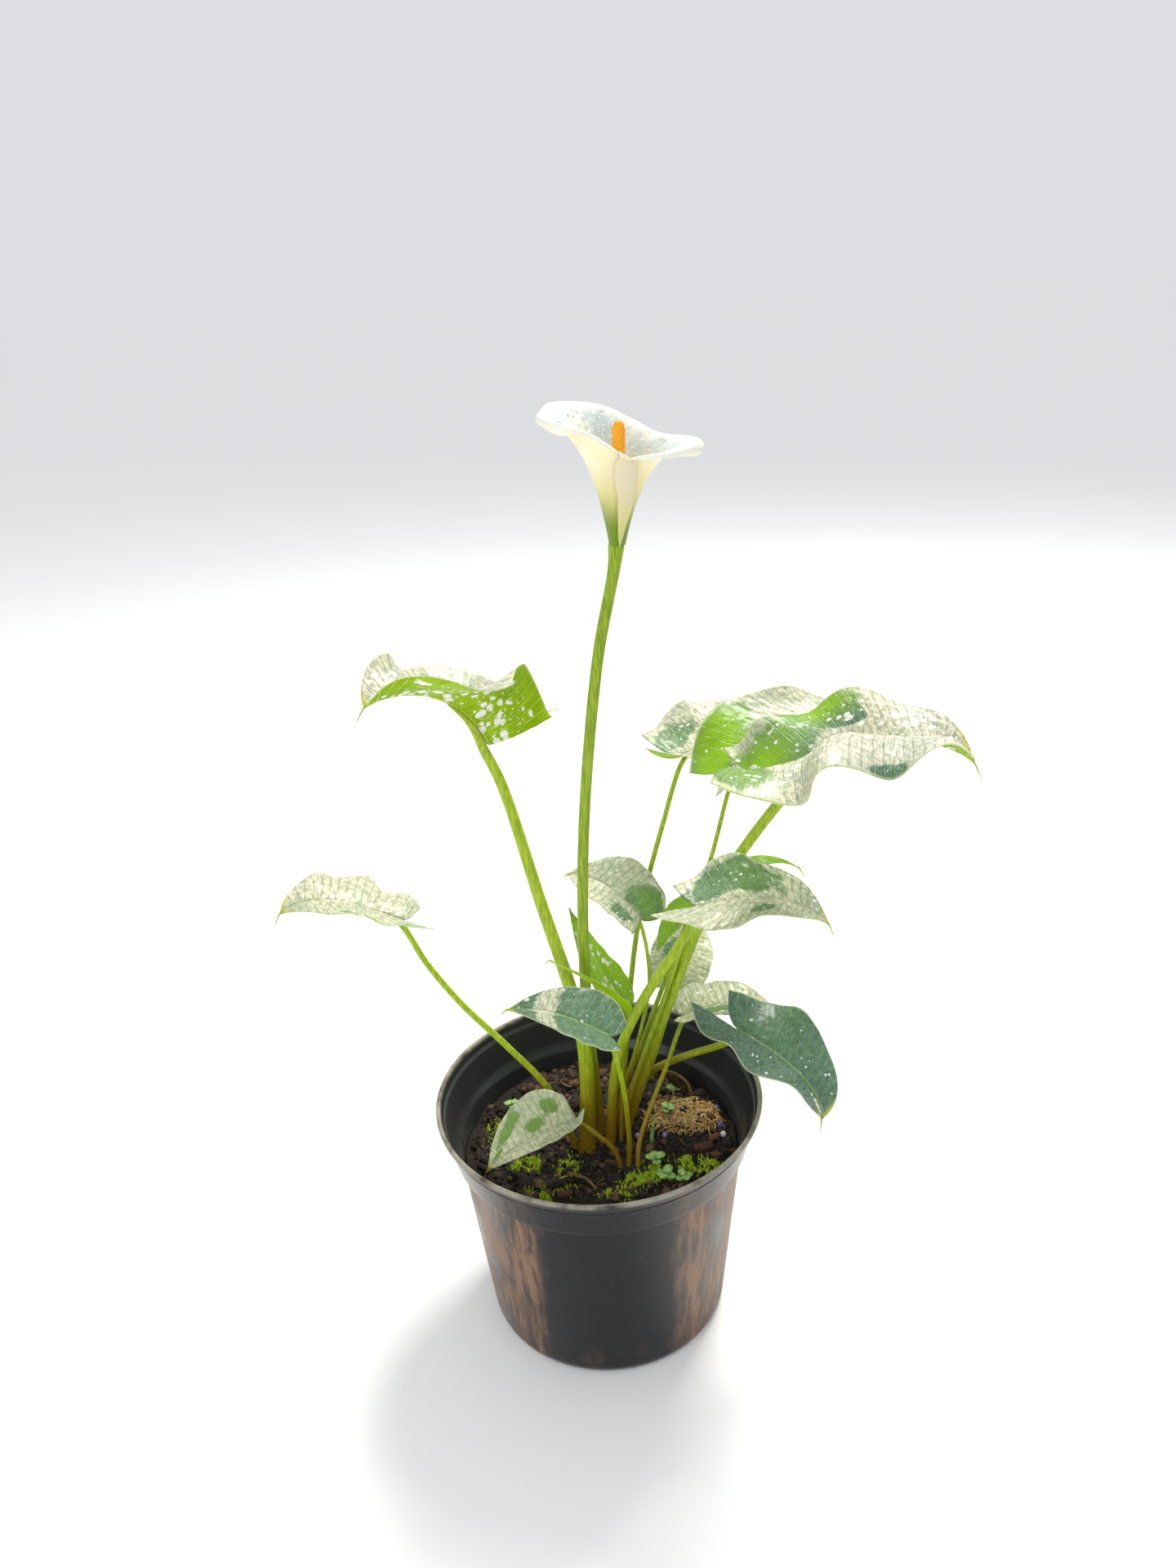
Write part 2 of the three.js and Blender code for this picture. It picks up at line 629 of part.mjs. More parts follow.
// Small things on the soil. Each prill is a coated bead of plant food.
const prillRadius = 1.9;
const prillDimple = 1.35 * prillRadius;
const prills = [[-28, 28], [-31, 22], [-6, 33], [-60, -17], [22, 3], [38, -1], [71, 20], [72, 7], [73, 0]];
const chips = [
  { at: [67, -3], size: [5.5, 2.6, 1.6], turn: 40 },
  { at: [60, -12], size: [7, 3.2, 1.8], turn: 10 },
  { at: [66, 12], size: [4, 3, 1.5], turn: 75 },
  { at: [-40, 30], size: [6, 2.6, 1.6], turn: 120 },
  { at: [-22, -45], size: [5, 3, 1.4], turn: 20 },
];
const seedlings = [
  { at: [-55, 29], height: 7, leaf: 2.4, turn: 20 },
  { at: [46, 34], height: 9, leaf: 2.7, turn: 75 },
  { at: [41, 16], height: 6, leaf: 2.6, turn: 140 },
  { at: [30, -26], height: 7, leaf: 3.2, turn: 10 },
  { at: [35, -36], height: 5, leaf: 3.4, turn: 60 },
  { at: [45, -40], height: 5, leaf: 2.8, turn: 110 },
];
const shoot = { route: [[30, -2, 109], [31, -1, 116], [32, 1, 124]], radius: [1.7, 0.5] };
const deadStalk = { route: [[57, 33, 112], [55, 33, 121], [47, 32, 130], [38, 31, 134]], radius: [1.2, 0.7] };
const twig = { route: [[-20, -30, 111], [-10, -36, 112], [-4, -44, 111]], radius: [0.9, 0.7] };

function prillSolid([x, y], radius, detail) {
  const bead = new THREE.IcosahedronGeometry(radius, detail);
  bead.translate(x, y, soilHeight(x, y) + 0.35 * prillRadius);
  return toSolid(bead);
}

function chipSolid({ at: [x, y], size, turn }, swell) {
  const chip = new THREE.IcosahedronGeometry(1, 0);
  chip.scale(size[0] + swell, size[1] + swell, size[2] + swell);
  chip.rotateX(0.25);
  chip.rotateZ(radians(turn));
  chip.translate(x, y, soilHeight(x, y) + 0.4 * size[2]);
  return toSolid(chip);
}

function buried(route) {
  const [x, y] = route[0];
  return curveThrough([[x, y, soilHeight(x, y) - 5], ...route]);
}

function taper([start, end]) {
  return (along) => lerp(start, end, along);
}

function stickSolid({ route, radius }, swell) {
  return toSolid(limb(buried(route), taper(radius.map((size) => size + swell)), 6, 6));
}

function twigSolid(swell) {
  return toSolid(limb(curveThrough(twig.route), taper(twig.radius.map((size) => size + swell)), 6, 4));
}

// A seedling: a thin stem with a pair of seed leaves and a second pair set across them
function seedlingCurve({ at: [x, y], height }) {
  const ground = soilHeight(x, y);
  return curveThrough([[x, y, ground - 4], [x, y, ground], [x + 0.6, y - 0.4, ground + height]]);
}

function seedlingStem(seedling, swell) {
  return toSolid(limb(seedlingCurve(seedling), taper([0.6 + swell, 0.5 + swell]), 5, 2));
}

function seedlingSolid(seedling) {
  const curve = seedlingCurve(seedling);
  const top = curve.getPointAt(1);
  let solid = seedlingStem(seedling, 0);
  for (let i = 0; i < 4; i += 1) {
    const pad = new THREE.CylinderGeometry(seedling.leaf, seedling.leaf * 0.9, bladeThickness, 6);
    pad.rotateX(Math.PI / 2);
    pad.scale(1, 0.8, 1);
    pad.translate(seedling.leaf * 0.95, 0, 0);
    pad.rotateY(-0.25);
    pad.rotateZ(radians(seedling.turn + 90 * i));
    pad.translate(top.x, top.y, top.z - 0.4 - 1.6 * (i % 2));
    solid = solid.add(toSolid(pad));
  }
  return solid;
}

// Two dead leaves lie curled on the soil in front
const deadLeaves = [
  { name: 'dead_leaf_left', at: [-19, -62], size: [16, 6], turn: 15, lift: 0.1 },
  { name: 'dead_leaf_right', at: [6, -66], size: [13, 5], turn: 170, lift: 2.4 },
];

function deadLeafSolid({ at: [x, y], size, turn, lift }) {
  const [length, width] = size;
  const angle = radians(turn);
  const surface = (s, t, target) => {
    const along = (s - 0.5) * length;
    const across = t * width * Math.max(Math.sin(Math.PI * clamp(s, 0.04, 0.96)) ** 0.7, 0.15) * 0.5;
    const px = x + along * Math.cos(angle) - across * Math.sin(angle);
    const py = y + along * Math.sin(angle) + across * Math.cos(angle);
    target.set(px, py, soilHeight(px, py) + lift + 2.2 * t * t + 1.5 * (2 * s - 1) ** 2);
  };
  return toSolid(sheet(surface, 5, 4, bladeThickness));
}

const lily = new THREE.Group();

function place(name, solid, finish) {
  const mesh = new THREE.Mesh(toGeometry(solid), finish);
  mesh.name = name;
  lily.add(mesh);
}

const finishes = {
  pot: material(colours.pot, 0.25),
  soil: material(colours.soil, 0.95),
  leaf: material(colours.leaf, 0.45),
  stem: material(colours.stem, 0.45),
  spathe: material(colours.spathe, 0.5),
  spadix: material(colours.spadix, 0.7),
  deadLeaf: material(colours.deadLeaf, 0.9),
  bark: material(colours.bark, 0.9),
  prill: material(colours.prill, 0.4),
  seedling: material(colours.seedling, 0.6),
};

const cutters = [];

place('pot', potSolid(), finishes.pot);

const scapeCurve = curveThrough([[scapeRoute[0][0], scapeRoute[0][1], soilTop - rootDepth], ...scapeRoute]);
const scape = (swell) => toSolid(limb(scapeCurve, taper(scapeRadius.map((radius) => radius + swell)), 9, 16));
place('flower_stem', scape(0), finishes.stem);
place('spathe', toSolid(sheet(spatheSurface(), 7, 32, spatheThickness)), finishes.spathe);
place('spadix', spadixSolid(), finishes.spadix);
cutters.push(stemHole(scape(holeSwell)));

for (const leaf of leaves) {
  place(leaf.name, leafSolid(leaf), finishes.leaf);
  cutters.push(stemHole(leafStalk(leaf, holeSwell)));
}

for (const [name, stick, finish] of [
  ['new_shoot', shoot, finishes.stem],
  ['dead_stalk', deadStalk, finishes.deadLeaf],
]) {
  place(name, stickSolid(stick, 0), finish);
  cutters.push(stemHole(stickSolid(stick, holeSwell)));
}

seedlings.forEach((seedling, i) => {
  place(`seedling_${i + 1}`, seedlingSolid(seedling), finishes.seedling);
  cutters.push(stemHole(seedlingStem(seedling, holeSwell)));
});

prills.forEach((at, i) => {
  place(`feed_bead_${i + 1}`, prillSolid(at, prillRadius, 1), finishes.prill);
  cutters.push(prillSolid(at, prillDimple, 0));
});

chips.forEach((chip, i) => {
  place(`bark_chip_${i + 1}`, chipSolid(chip, 0), finishes.bark);
  cutters.push(chipSolid(chip, 1.6 * gap));
});

for (const deadLeaf of deadLeaves) place(deadLeaf.name, deadLeafSolid(deadLeaf), finishes.deadLeaf);

place('twig', twigSolid(0), finishes.bark);
cutters.push(twigSolid(1.3 * gap));

place('soil', soilSolid(cutters), finishes.soil);

export default lily;
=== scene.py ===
"""The looks of a potted arum lily: one white funnel flower and fifteen spotted leaves in a nursery pot."""

import random
from math import ceil, cos, exp, floor, hypot, pi, radians, sin, sqrt

import bmesh
import bpy
from mathutils import Matrix, Vector, noise


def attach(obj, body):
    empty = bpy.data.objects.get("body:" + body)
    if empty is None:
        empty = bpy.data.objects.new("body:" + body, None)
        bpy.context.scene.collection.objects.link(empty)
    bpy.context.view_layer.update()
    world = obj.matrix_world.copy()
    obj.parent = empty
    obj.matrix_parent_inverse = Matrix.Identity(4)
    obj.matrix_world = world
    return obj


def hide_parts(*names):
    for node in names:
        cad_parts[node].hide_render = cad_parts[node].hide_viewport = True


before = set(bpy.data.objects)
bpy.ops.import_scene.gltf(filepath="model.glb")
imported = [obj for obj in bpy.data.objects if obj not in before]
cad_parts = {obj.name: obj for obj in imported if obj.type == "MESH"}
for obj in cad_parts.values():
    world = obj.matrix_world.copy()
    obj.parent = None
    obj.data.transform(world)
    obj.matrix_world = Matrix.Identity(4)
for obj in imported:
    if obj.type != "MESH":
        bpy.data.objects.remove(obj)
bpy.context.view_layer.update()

# The studio
# A pale floor and soft light: a sheet of light high behind the plant, so that its leaves glow, and a
# wider and weaker one in front. The camera leans a little, stands half a metre off and looks down.

camera_place = (0.0037, -0.5648, 0.5785)
camera_tilt = 22.93
camera_lean = -3.14
camera_lens = bpy.data.cameras.new("camera")
camera_lens.lens = 27.04
camera = bpy.data.objects.new("camera", camera_lens)
camera.matrix_world = (
    Matrix.Translation(camera_place)
    @ Matrix.Rotation(radians(90 - camera_tilt), 4, "X")
    @ Matrix.Rotation(radians(camera_lean), 4, "Z")
)
bpy.context.scene.collection.objects.link(camera)
bpy.context.scene.camera = camera
bpy.context.scene.view_settings.view_transform = "Standard"


def soft_light(name, place, aim, size, watts, colour):
    light = bpy.data.lights.new(name, "AREA")
    light.size = size
    light.energy = watts
    light.color = colour
    lamp = bpy.data.objects.new(name, light)
    facing = (Vector(aim) - Vector(place)).to_track_quat("-Z", "Y")
    lamp.matrix_world = Matrix.Translation(place) @ facing.to_matrix().to_4x4()
    bpy.context.scene.collection.objects.link(lamp)


soft_light("light_behind", (0.55, 0.95, 1.75), (0, 0, 0.3), 0.6, 38, (1.0, 0.97, 0.9))
soft_light("light_front", (-1.1, -1.5, 1.1), (0, 0, 0.25), 1.3, 12, (0.95, 0.97, 1.0))

sky = bpy.data.worlds.new("studio_walls")
sky.use_nodes = True
sky_light = sky.node_tree.nodes["Background"].inputs
sky_light["Color"].default_value = (0.95, 0.97, 1.0, 1)
sky_light["Strength"].default_value = 0.76
bpy.context.scene.world = sky


class Number:
    """A number that a material works out, so that its maths reads as plain expressions."""

    def __init__(self, finish, socket):
        self.finish = finish
        self.socket = socket

    def maths(self, operation, *others):
        values = dict(enumerate((self, *others)))
        return self.finish.node("ShaderNodeMath", {"operation": operation}, values)

    def __add__(self, other):
        return self.maths("ADD", other)

    def __sub__(self, other):
        return self.maths("SUBTRACT", other)

    def __rsub__(self, other):
        return self.finish.node("ShaderNodeMath", {"operation": "SUBTRACT"}, {0: other, 1: self})

    def __mul__(self, other):
        return self.maths("MULTIPLY", other)

    __radd__ = __add__

    def step(self, low, high):
        """0 below low and 1 above high, with a soft change between them."""
        settings = {"interpolation_type": "SMOOTHSTEP"}
        return self.finish.node("ShaderNodeMapRange", settings, {0: self, 1: low, 2: high})


def shade(red, green, blue):
    """A colour as a screen shows it, 0 to 255, in the linear values that shaders use."""
    linear = (c / 255 / 12.92 if c < 11 else ((c / 255 + 0.055) / 1.055) ** 2.4 for c in (red, green, blue))
    return (*linear, 1)


class Finish:
    """A material under construction. node() adds a node and gives back one of its values."""

    def __init__(self, name, roughness=0.5, constants=None):
        self.material = bpy.data.materials.new(name)
        self.material.use_nodes = True
        self.tree = self.material.node_tree
        self.surface = self.tree.nodes["Principled BSDF"]
        self.surface.inputs["Roughness"].default_value = roughness
        self.set(self.surface, constants or {})

    def node(self, kind, settings=None, values=None, output=0):
        node = self.tree.nodes.new(kind)
        for setting, value in (settings or {}).items():
            setattr(node, setting, value)
        self.set(node, values or {})
        return Number(self, node.outputs[output])

    def set(self, node, values):
        for socket, value in values.items():
            if isinstance(value, Number):
                self.tree.links.new(value.socket, node.inputs[socket])
            else:
                node.inputs[socket].default_value = value

    def wear(self, **values):
        """Feeds the surface: Base_Color, Roughness, Normal and so on."""
        self.set(self.surface, {name.replace("_", " "): value for name, value in values.items()})

    def stretch(self, spot, scale):
        return self.node("ShaderNodeVectorMath", {"operation": "MULTIPLY"}, {0: spot, 1: scale})

    def place(self, scale=(1, 1, 1)):
        """The object's own coordinates in millimetres, stretched by scale."""
        spot = self.node("ShaderNodeTexCoord", output="Object")
        return self.stretch(spot, tuple(1000 * size for size in scale))

    def attribute(self, name):
        """The vector that each vertex of the shape carries under this name."""
        return self.node("ShaderNodeAttribute", {"attribute_name": name}, output="Vector")

    def parts(self, vector, *wanted):
        """Single parts of a vector: 0, 1 and 2 stand for X, Y and Z."""
        return [self.node("ShaderNodeSeparateXYZ", None, {0: vector}, i) for i in wanted]

    def height(self):
        """Millimetres above the ground."""
        return self.parts(self.place(), 2)[0]

    def clouds(self, spot, scale, detail=3.0, roughness=0.55):
        values = {"Vector": spot, "Scale": scale, "Detail": detail, "Roughness": roughness}
        return self.node("ShaderNodeTexNoise", None, values)

    def cells(self, spot, scale):
        """The distance from the middle of the nearest of many scattered cells."""
        return self.node("ShaderNodeTexVoronoi", None, {"Vector": spot, "Scale": scale}, "Distance")

    def blend(self, share, first, second):
        return self.node("ShaderNodeMix", {"data_type": "RGBA"}, {0: share, 6: first, 7: second}, 2)

    def layered(self, colour, *layers):
        """A colour with others over it, each given with the share that it covers."""
        for share, over in layers:
            colour = self.blend(share, colour, over)
        return colour

    def bump(self, height, distance, strength=1.0):
        """Relief from a height of 0 to 1, which is distance millimetres deep."""
        values = {"Height": height, "Distance": distance / 1000, "Strength": strength}
        return self.node("ShaderNodeBump", None, values)

    def glow(self, colour, share):
        """Lets part of the light through, as a leaf or petal does."""
        through = self.tree.nodes.new("ShaderNodeBsdfTranslucent")
        through.inputs["Color"].default_value = colour
        mixed = self.tree.nodes.new("ShaderNodeMixShader")
        self.set(mixed, {0: share})
        self.tree.links.new(self.surface.outputs[0], mixed.inputs[1])
        self.tree.links.new(through.outputs[0], mixed.inputs[2])
        self.tree.links.new(mixed.outputs[0], self.tree.nodes["Material Output"].inputs["Surface"])


floor_finish = Finish("pale_floor", 0.9, {"Specular IOR Level": 0.0})
floor_spot = floor_finish.place()
floor_mottle = floor_finish.clouds(floor_spot, 0.01)
floor_finish.wear(Base_Color=floor_finish.blend(floor_mottle, shade(253, 253, 252), shade(255, 255, 254)))
floor_shape = bmesh.new()
floor_place = Matrix.Translation((0, 0, -0.0004))
bmesh.ops.create_circle(floor_shape, cap_ends=True, segments=96, radius=60, matrix=floor_place)
floor_mesh = bpy.data.meshes.new("floor")
floor_shape.to_mesh(floor_mesh)
floor_shape.free()
floor_mesh.materials.append(floor_finish.material)
pale_floor = bpy.data.objects.new("floor", floor_mesh)
bpy.context.scene.collection.objects.link(pale_floor)

# The pot
# A three litre nursery pot of thin black plastic, blown in one piece: a stepped collar under a rolled
# lip, a body that narrows to a rounded foot, and eight drain holes. A painted brown reflection lies on
# both sides of its front and a painted highlight on its lip; its inner wall carries a little dust and
# is painted a lighter grey, as painted light.

pot_height = 145
rim_radius = 95
body_top_radius = 83.5
base_radius = 71.7
collar_foot = pot_height - 27.5
drain_count = 8
drain_radius = 5
drain_circle = 55


def add_piece(name, shape, finishes, slot, *nodes):
    """Makes a shape in millimetres into an object at the origin that stands for its CAD nodes."""
    bmesh.ops.scale(shape, vec=(0.001, 0.001, 0.001), verts=shape.verts)
    mesh = bpy.data.meshes.new(name)
    shape.to_mesh(mesh)
    shape.free()
    mesh.shade_smooth()
    for finish in finishes:
        mesh.materials.append(finish.material)
    piece = bpy.data.objects.new(name, mesh)
    bpy.context.scene.collection.objects.link(piece)
    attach(piece, "root")
    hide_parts(*nodes)
    return piece


def turn(shape, profile, steps):
    """Spins a profile of (radius, height) points right round the Z axis."""
    points = [shape.verts.new((radius, 0, height)) for radius, height in profile]
    line = [shape.edges.new(pair) for pair in zip(points, points[1:])]
    bmesh.ops.spin(
        shape,
        geom=points + line,
        axis=(0, 0, 1),
        cent=(0, 0, 0),
        angle=2 * pi,
        steps=steps,
        use_merge=True,
    )
    bmesh.ops.remove_doubles(shape, verts=shape.verts, dist=1e-4)
    bmesh.ops.recalc_face_normals(shape, faces=shape.faces)


def rounded(profile, softness, steps=3):
    """Rounds each inner corner of a profile, starting softness millimetres from it."""
    points = [Vector(point) for point in profile]
    path = [points[0]]
    for before, corner, after in zip(points, points[1:], points[2:]):
        start = corner + (before - corner).normalized() * min(softness, (before - corner).length * 0.45)
        end = corner + (after - corner).normalized() * min(softness, (after - corner).length * 0.45)
        for i in range(steps + 1):
            share = i / steps
            path.append(start.lerp(corner, share).lerp(corner.lerp(end, share), share))
    return path + [points[-1]]


pot_profile = [
    (0, 0.9), (base_radius - 24, 0.9), (base_radius - 22, 0), (base_radius - 5, 0),
    (base_radius - 1.4, 1.4), (base_radius, 5),
    (body_top_radius - 0.1, collar_foot - 1.6), (body_top_radius + 3, collar_foot + 0.6),
    (body_top_radius + 3.8, collar_foot + 1.8), (body_top_radius + 7.2, pot_height - 9.6),
    (body_top_radius + 8.1, pot_height - 9.2), (body_top_radius + 8.1, pot_height - 8.2),
    (body_top_radius + 7.9, pot_height - 7.8), (rim_radius - 1.9, pot_height - 3.6),
    (rim_radius - 0.4, pot_height - 3.2), (rim_radius, pot_height - 2.2), (rim_radius, pot_height - 0.9),
    (rim_radius - 0.8, pot_height), (rim_radius - 1.9, pot_height), (rim_radius - 2.7, pot_height - 0.8),
    (rim_radius - 3.7, pot_height - 6), (rim_radius - 5.4, pot_height - 7),
    (body_top_radius + 2.6, collar_foot + 4.3), (body_top_radius + 1.4, collar_foot + 2),
    (body_top_radius - 1.2, collar_foot - 1.5), (base_radius - 1.2, 5), (base_radius - 4.2, 2.2), (0, 2.2),
]
pot_shape = bmesh.new()
turn(pot_shape, rounded(pot_profile, 0.9), 180)

inner_wall_from = 3
for face in pot_shape.faces:
    middle = face.calc_center_median()
    outwards = face.normal.x * middle.x + face.normal.y * middle.y
    if middle.z > inner_wall_from and outwards < -0.3:
        face.material_index = 1


def pot_finish(name, dark, dust, gloss, reflection_and_dust_share):
    """Black plastic with fine scratches, a painted reflection at both sides of its front (dust inside) and a
    painted lip highlight.
    """
    plastic = Finish(name, 0.3, {"Specular IOR Level": gloss})
    spot = plastic.place()
    x, y, height = plastic.parts(spot, 0, 1, 2)
    drawn_down = plastic.place((1, 1, 0.12))
    grained = plastic.clouds(drawn_down, 0.16, 6, 0.72)
    ragged = plastic.clouds(plastic.place((1, 1, 0.5)), 0.05, 3) * 24
    # Painted reflection: brown at both sides of the front, weaker on the collar; on the inner wall it is
    # dust.
    sides = (x.maths("ABSOLUTE") + ragged).step(44, 58) * (y.step(30, -10) * 0.85 + 0.15)
    reflection_and_dust = (grained * 0.65 + plastic.clouds(spot, 0.021, 3) * 0.75).step(0.5, 0.78) * sides
    reflection_and_dust = reflection_and_dust * (height.step(120, 112) * 0.75 + 0.25) * reflection_and_dust_share
    specks = plastic.cells(spot, 0.55).step(0.16, 0.08) * plastic.clouds(spot, 0.05).step(0.5, 0.62)
    splash = height.step(34, 4) * plastic.clouds(spot, 0.12, 5, 0.7).step(0.42, 0.68)
    # Painted highlight: pale patches along the lip.
    lip = height.step(pot_height - 3.2, pot_height - 0.6)
    lip_highlight = lip * plastic.clouds(spot, 0.06, 4).step(0.25, 0.6)
    soiled = plastic.layered(
        dark,
        (reflection_and_dust * (grained.step(0.4, 0.6) * 0.6 + 0.35), dust),
        (splash * 0.25, shade(98, 80, 66)),
        (specks * 0.5, shade(128, 116, 102)),
        (lip_highlight * 0.6, shade(188, 182, 162)),
    )
    scratches = plastic.clouds(plastic.place((0.4, 0.4, 3.2)), 0.5, 5, 0.75)
    plastic.wear(
        Base_Color=soiled,
        Roughness=reflection_and_dust * 0.3 + splash * 0.2 + lip_highlight * 0.3 + scratches * 0.1 + 0.1,
        Normal=plastic.bump(plastic.clouds(drawn_down, 0.1, 4) + scratches * 0.25, 0.2),
    )
    return plastic


pot_finishes = [
    # Outside, the brown is a painted reflection.
    pot_finish("black_plastic", shade(8, 8, 11), shade(136, 104, 78), 0.34, 1),
    # The inner wall's grey, lighter than the outside, is dust and painted light.
    pot_finish("inner_wall_dust_and_painted_light", shade(50, 51, 52), shade(108, 104, 96), 0.3, 0.45),
]
drains = bmesh.new()
for i in range(drain_count):
    angle = 2 * pi * i / drain_count
    spot = Matrix.Translation((0.001 * drain_circle * cos(angle), 0.001 * drain_circle * sin(angle), 0.001))
    bmesh.ops.create_cone(
        drains, cap_ends=True, segments=28, radius1=0.001 * drain_radius, radius2=0.001 * drain_radius,
        depth=0.008, matrix=spot,
    )
drain_mesh = bpy.data.meshes.new("drains")
drains.to_mesh(drain_mesh)
drains.free()
drill = bpy.data.objects.new("drains", drain_mesh)
bpy.context.scene.collection.objects.link(drill)
pot = add_piece("nursery_pot", pot_shape, pot_finishes, "pot", "pot")
cut = pot.modifiers.new("drain_holes", "BOOLEAN")
cut.operation = "DIFFERENCE"
cut.object = drill
bpy.context.view_layer.update()
drilled = bpy.data.meshes.new_from_object(pot.evaluated_get(bpy.context.evaluated_depsgraph_get()))
pot.modifiers.clear()
pot.data = drilled
bpy.data.objects.remove(drill)

# The soil
# Dark peat and bark, filled to a few centimetres under the lip: rough with clods on top, heaped to the
# right of the stems, and lower along the wall, where watering has washed it down.

soil_top = 109
soil_clear = 0.3
wall_thickness = 1.2
wall_foot = 5


def clamp(value, low=0.0, high=1.0):
    return min(max(value, low), high)


def lerp(start, end, share):
    return start + (end - start) * share


def soil_height(x, y):
    clods = 1.1 * sin(x / 6.5 + 1) * cos(y / 7.5) + 0.9 * sin((x + 2 * y) / 8 + 2)
    lumps = 0.7 * cos((2 * x - y) / 5 + 0.5)
    heap = 6 * exp(-(((x - 52) / 17) ** 2) - ((y - 16) / 15) ** 2)
    wall_dip = -2.5 * clamp((hypot(x, y) - 66) / 14) ** 2
    return soil_top + clods + lumps + heap + wall_dip


def soil_wall(height):
    """The soil's radius at a height, just clear of the pot's wall."""
    share = (height - wall_foot) / (collar_foot - wall_foot - 1)
    return lerp(base_radius, body_top_radius, share) - wall_thickness - soil_clear


def ground(x, y):
    """The soil's crumbly surface."""
    clods = noise.noise(Vector((x, y, 3)) / 11)
    grain = noise.fractal(Vector((x, y, 0)) / 5, 0.9, 2.1, 4)
    grit = noise.noise(Vector((x, y, 7)) / 1.1)
    edge = clamp((80 - hypot(x, y)) / 5)
    return soil_height(x, y) + edge * (1.6 * clods + 1.5 * grain + 0.4 * grit - 0.8)


soil_edge = soil_wall(soil_top - 6)
soil_shape = bmesh.new()
soil_profile = [(0, 2.5), (soil_wall(6) - 5, 2.5), (soil_wall(6) - 0.5, 6)]
soil_profile += [(soil_wall(z), z) for z in (30, 60, 90)]
soil_rings = 92
soil_profile += [(soil_edge * (1 - (i / soil_rings) ** 1.15), soil_top) for i in range(soil_rings + 1)]
turn(soil_shape, soil_profile, 300)
for vert in soil_shape.verts:
    if vert.co.z > soil_top - 1:
        vert.co.z = ground(vert.co.x, vert.co.y)

soil_finish = Finish("peat_and_bark", 0.95)
soil_spot = soil_finish.place()
damp = soil_finish.clouds(soil_spot, 0.05, 5, 0.65)
crumbs = soil_finish.clouds(soil_spot, 0.9, 5, 0.75)
fibres = soil_finish.clouds(soil_finish.place((0.25, 1.6, 1)), 0.9, 3, 0.6).step(0.6, 0.74)
earth = soil_finish.layered(
    shade(19, 16, 14),
    (crumbs.step(0.35, 0.72), shade(58, 45, 34)),
    (damp.step(0.4, 0.65) * 0.5, shade(34, 28, 22)),
    (fibres * 0.5, shade(128, 96, 64)),
)
soil_finish.wear(
    Base_Color=earth,
    Roughness=1 - damp.step(0.3, 0.6) * 0.25,
    Normal=soil_finish.bump(crumbs, 1.2),
)
add_piece("potting_soil", soil_shape, [soil_finish], "soil", "soil")

# The flower stem
# One round fleshy stem, yellow-green with fine darker flecks drawn out along it, and brown where it
# stands in the soil. It leans back a little and carries the flower on its swollen top.

scape_route = [(-0.2, 3.2, 109), (-4, 4, 219), (0, 4, 310), (12, 5, 405), (22.4, 5, 452), (24.4, 5, 468)]
scape_radius = (3.2, 2.9)
root_depth = 12


def rooted(route):
    """A stalk's route, begun a little way down in the soil."""
    return [(*route[0][:2], soil_top - root_depth), *route]


def curve_through(points, steps):
    """A smooth line of steps + 1 places through the points, evenly spaced."""
    points = [Vector(point) for point in points]
    ends = [points[0] * 2 - points[1]] + points + [points[-1] * 2 - points[-2]]
    fine = [points[0]]
    for a, b, c, d in zip(ends, ends[1:], ends[2:], ends[3:]):
        first, middle, last = (max((q - p).length, 1e-6) ** 0.5 for p, q in ((a, b), (b, c), (c, d)))
        leaving = ((b - a) / first - (c - a) / (first + middle) + (c - b) / middle) * middle
        arriving = ((c - b) / middle - (d - b) / (middle + last) + (d - c) / last) * middle
        for i in range(1, 25):
            s = i / 24
            fine.append(
                b * (2 * s**3 - 3 * s**2 + 1)
                + leaving * (s**3 - 2 * s**2 + s)
                + c * (3 * s**2 - 2 * s**3)
                + arriving * (s**3 - s**2)
            )
    run = [0.0]
    for p, q in zip(fine, fine[1:]):
        run.append(run[-1] + (q - p).length)
    path, at = [], 0
    for i in range(steps + 1):
        goal = run[-1] * i / steps
        while at < len(run) - 2 and run[at + 1] < goal:
            at += 1
        share = clamp((goal - run[at]) / max(run[at + 1] - run[at], 1e-9))
        path.append(fine[at].lerp(fine[at + 1], share))
    return path


def add_sheet(shape, rows, columns, place, finish=0):
    """Adds a grid to the shape. place(s, t) gives each vertex, s from 0 to 1 and t from -1 to 1."""
    grid = bmesh.ops.create_grid(shape, x_segments=columns, y_segments=rows, size=1)
    flat_spots = [(vert, (vert.co.y + 1) / 2, vert.co.x) for vert in grid["verts"]]
    for vert, s, t in flat_spots:
        vert.co = place(s, t)
    faces = list({face for vert in grid["verts"] for face in vert.link_faces})
    shape.normal_update()
    for face in faces:
        face.material_index = finish
    return flat_spots, faces


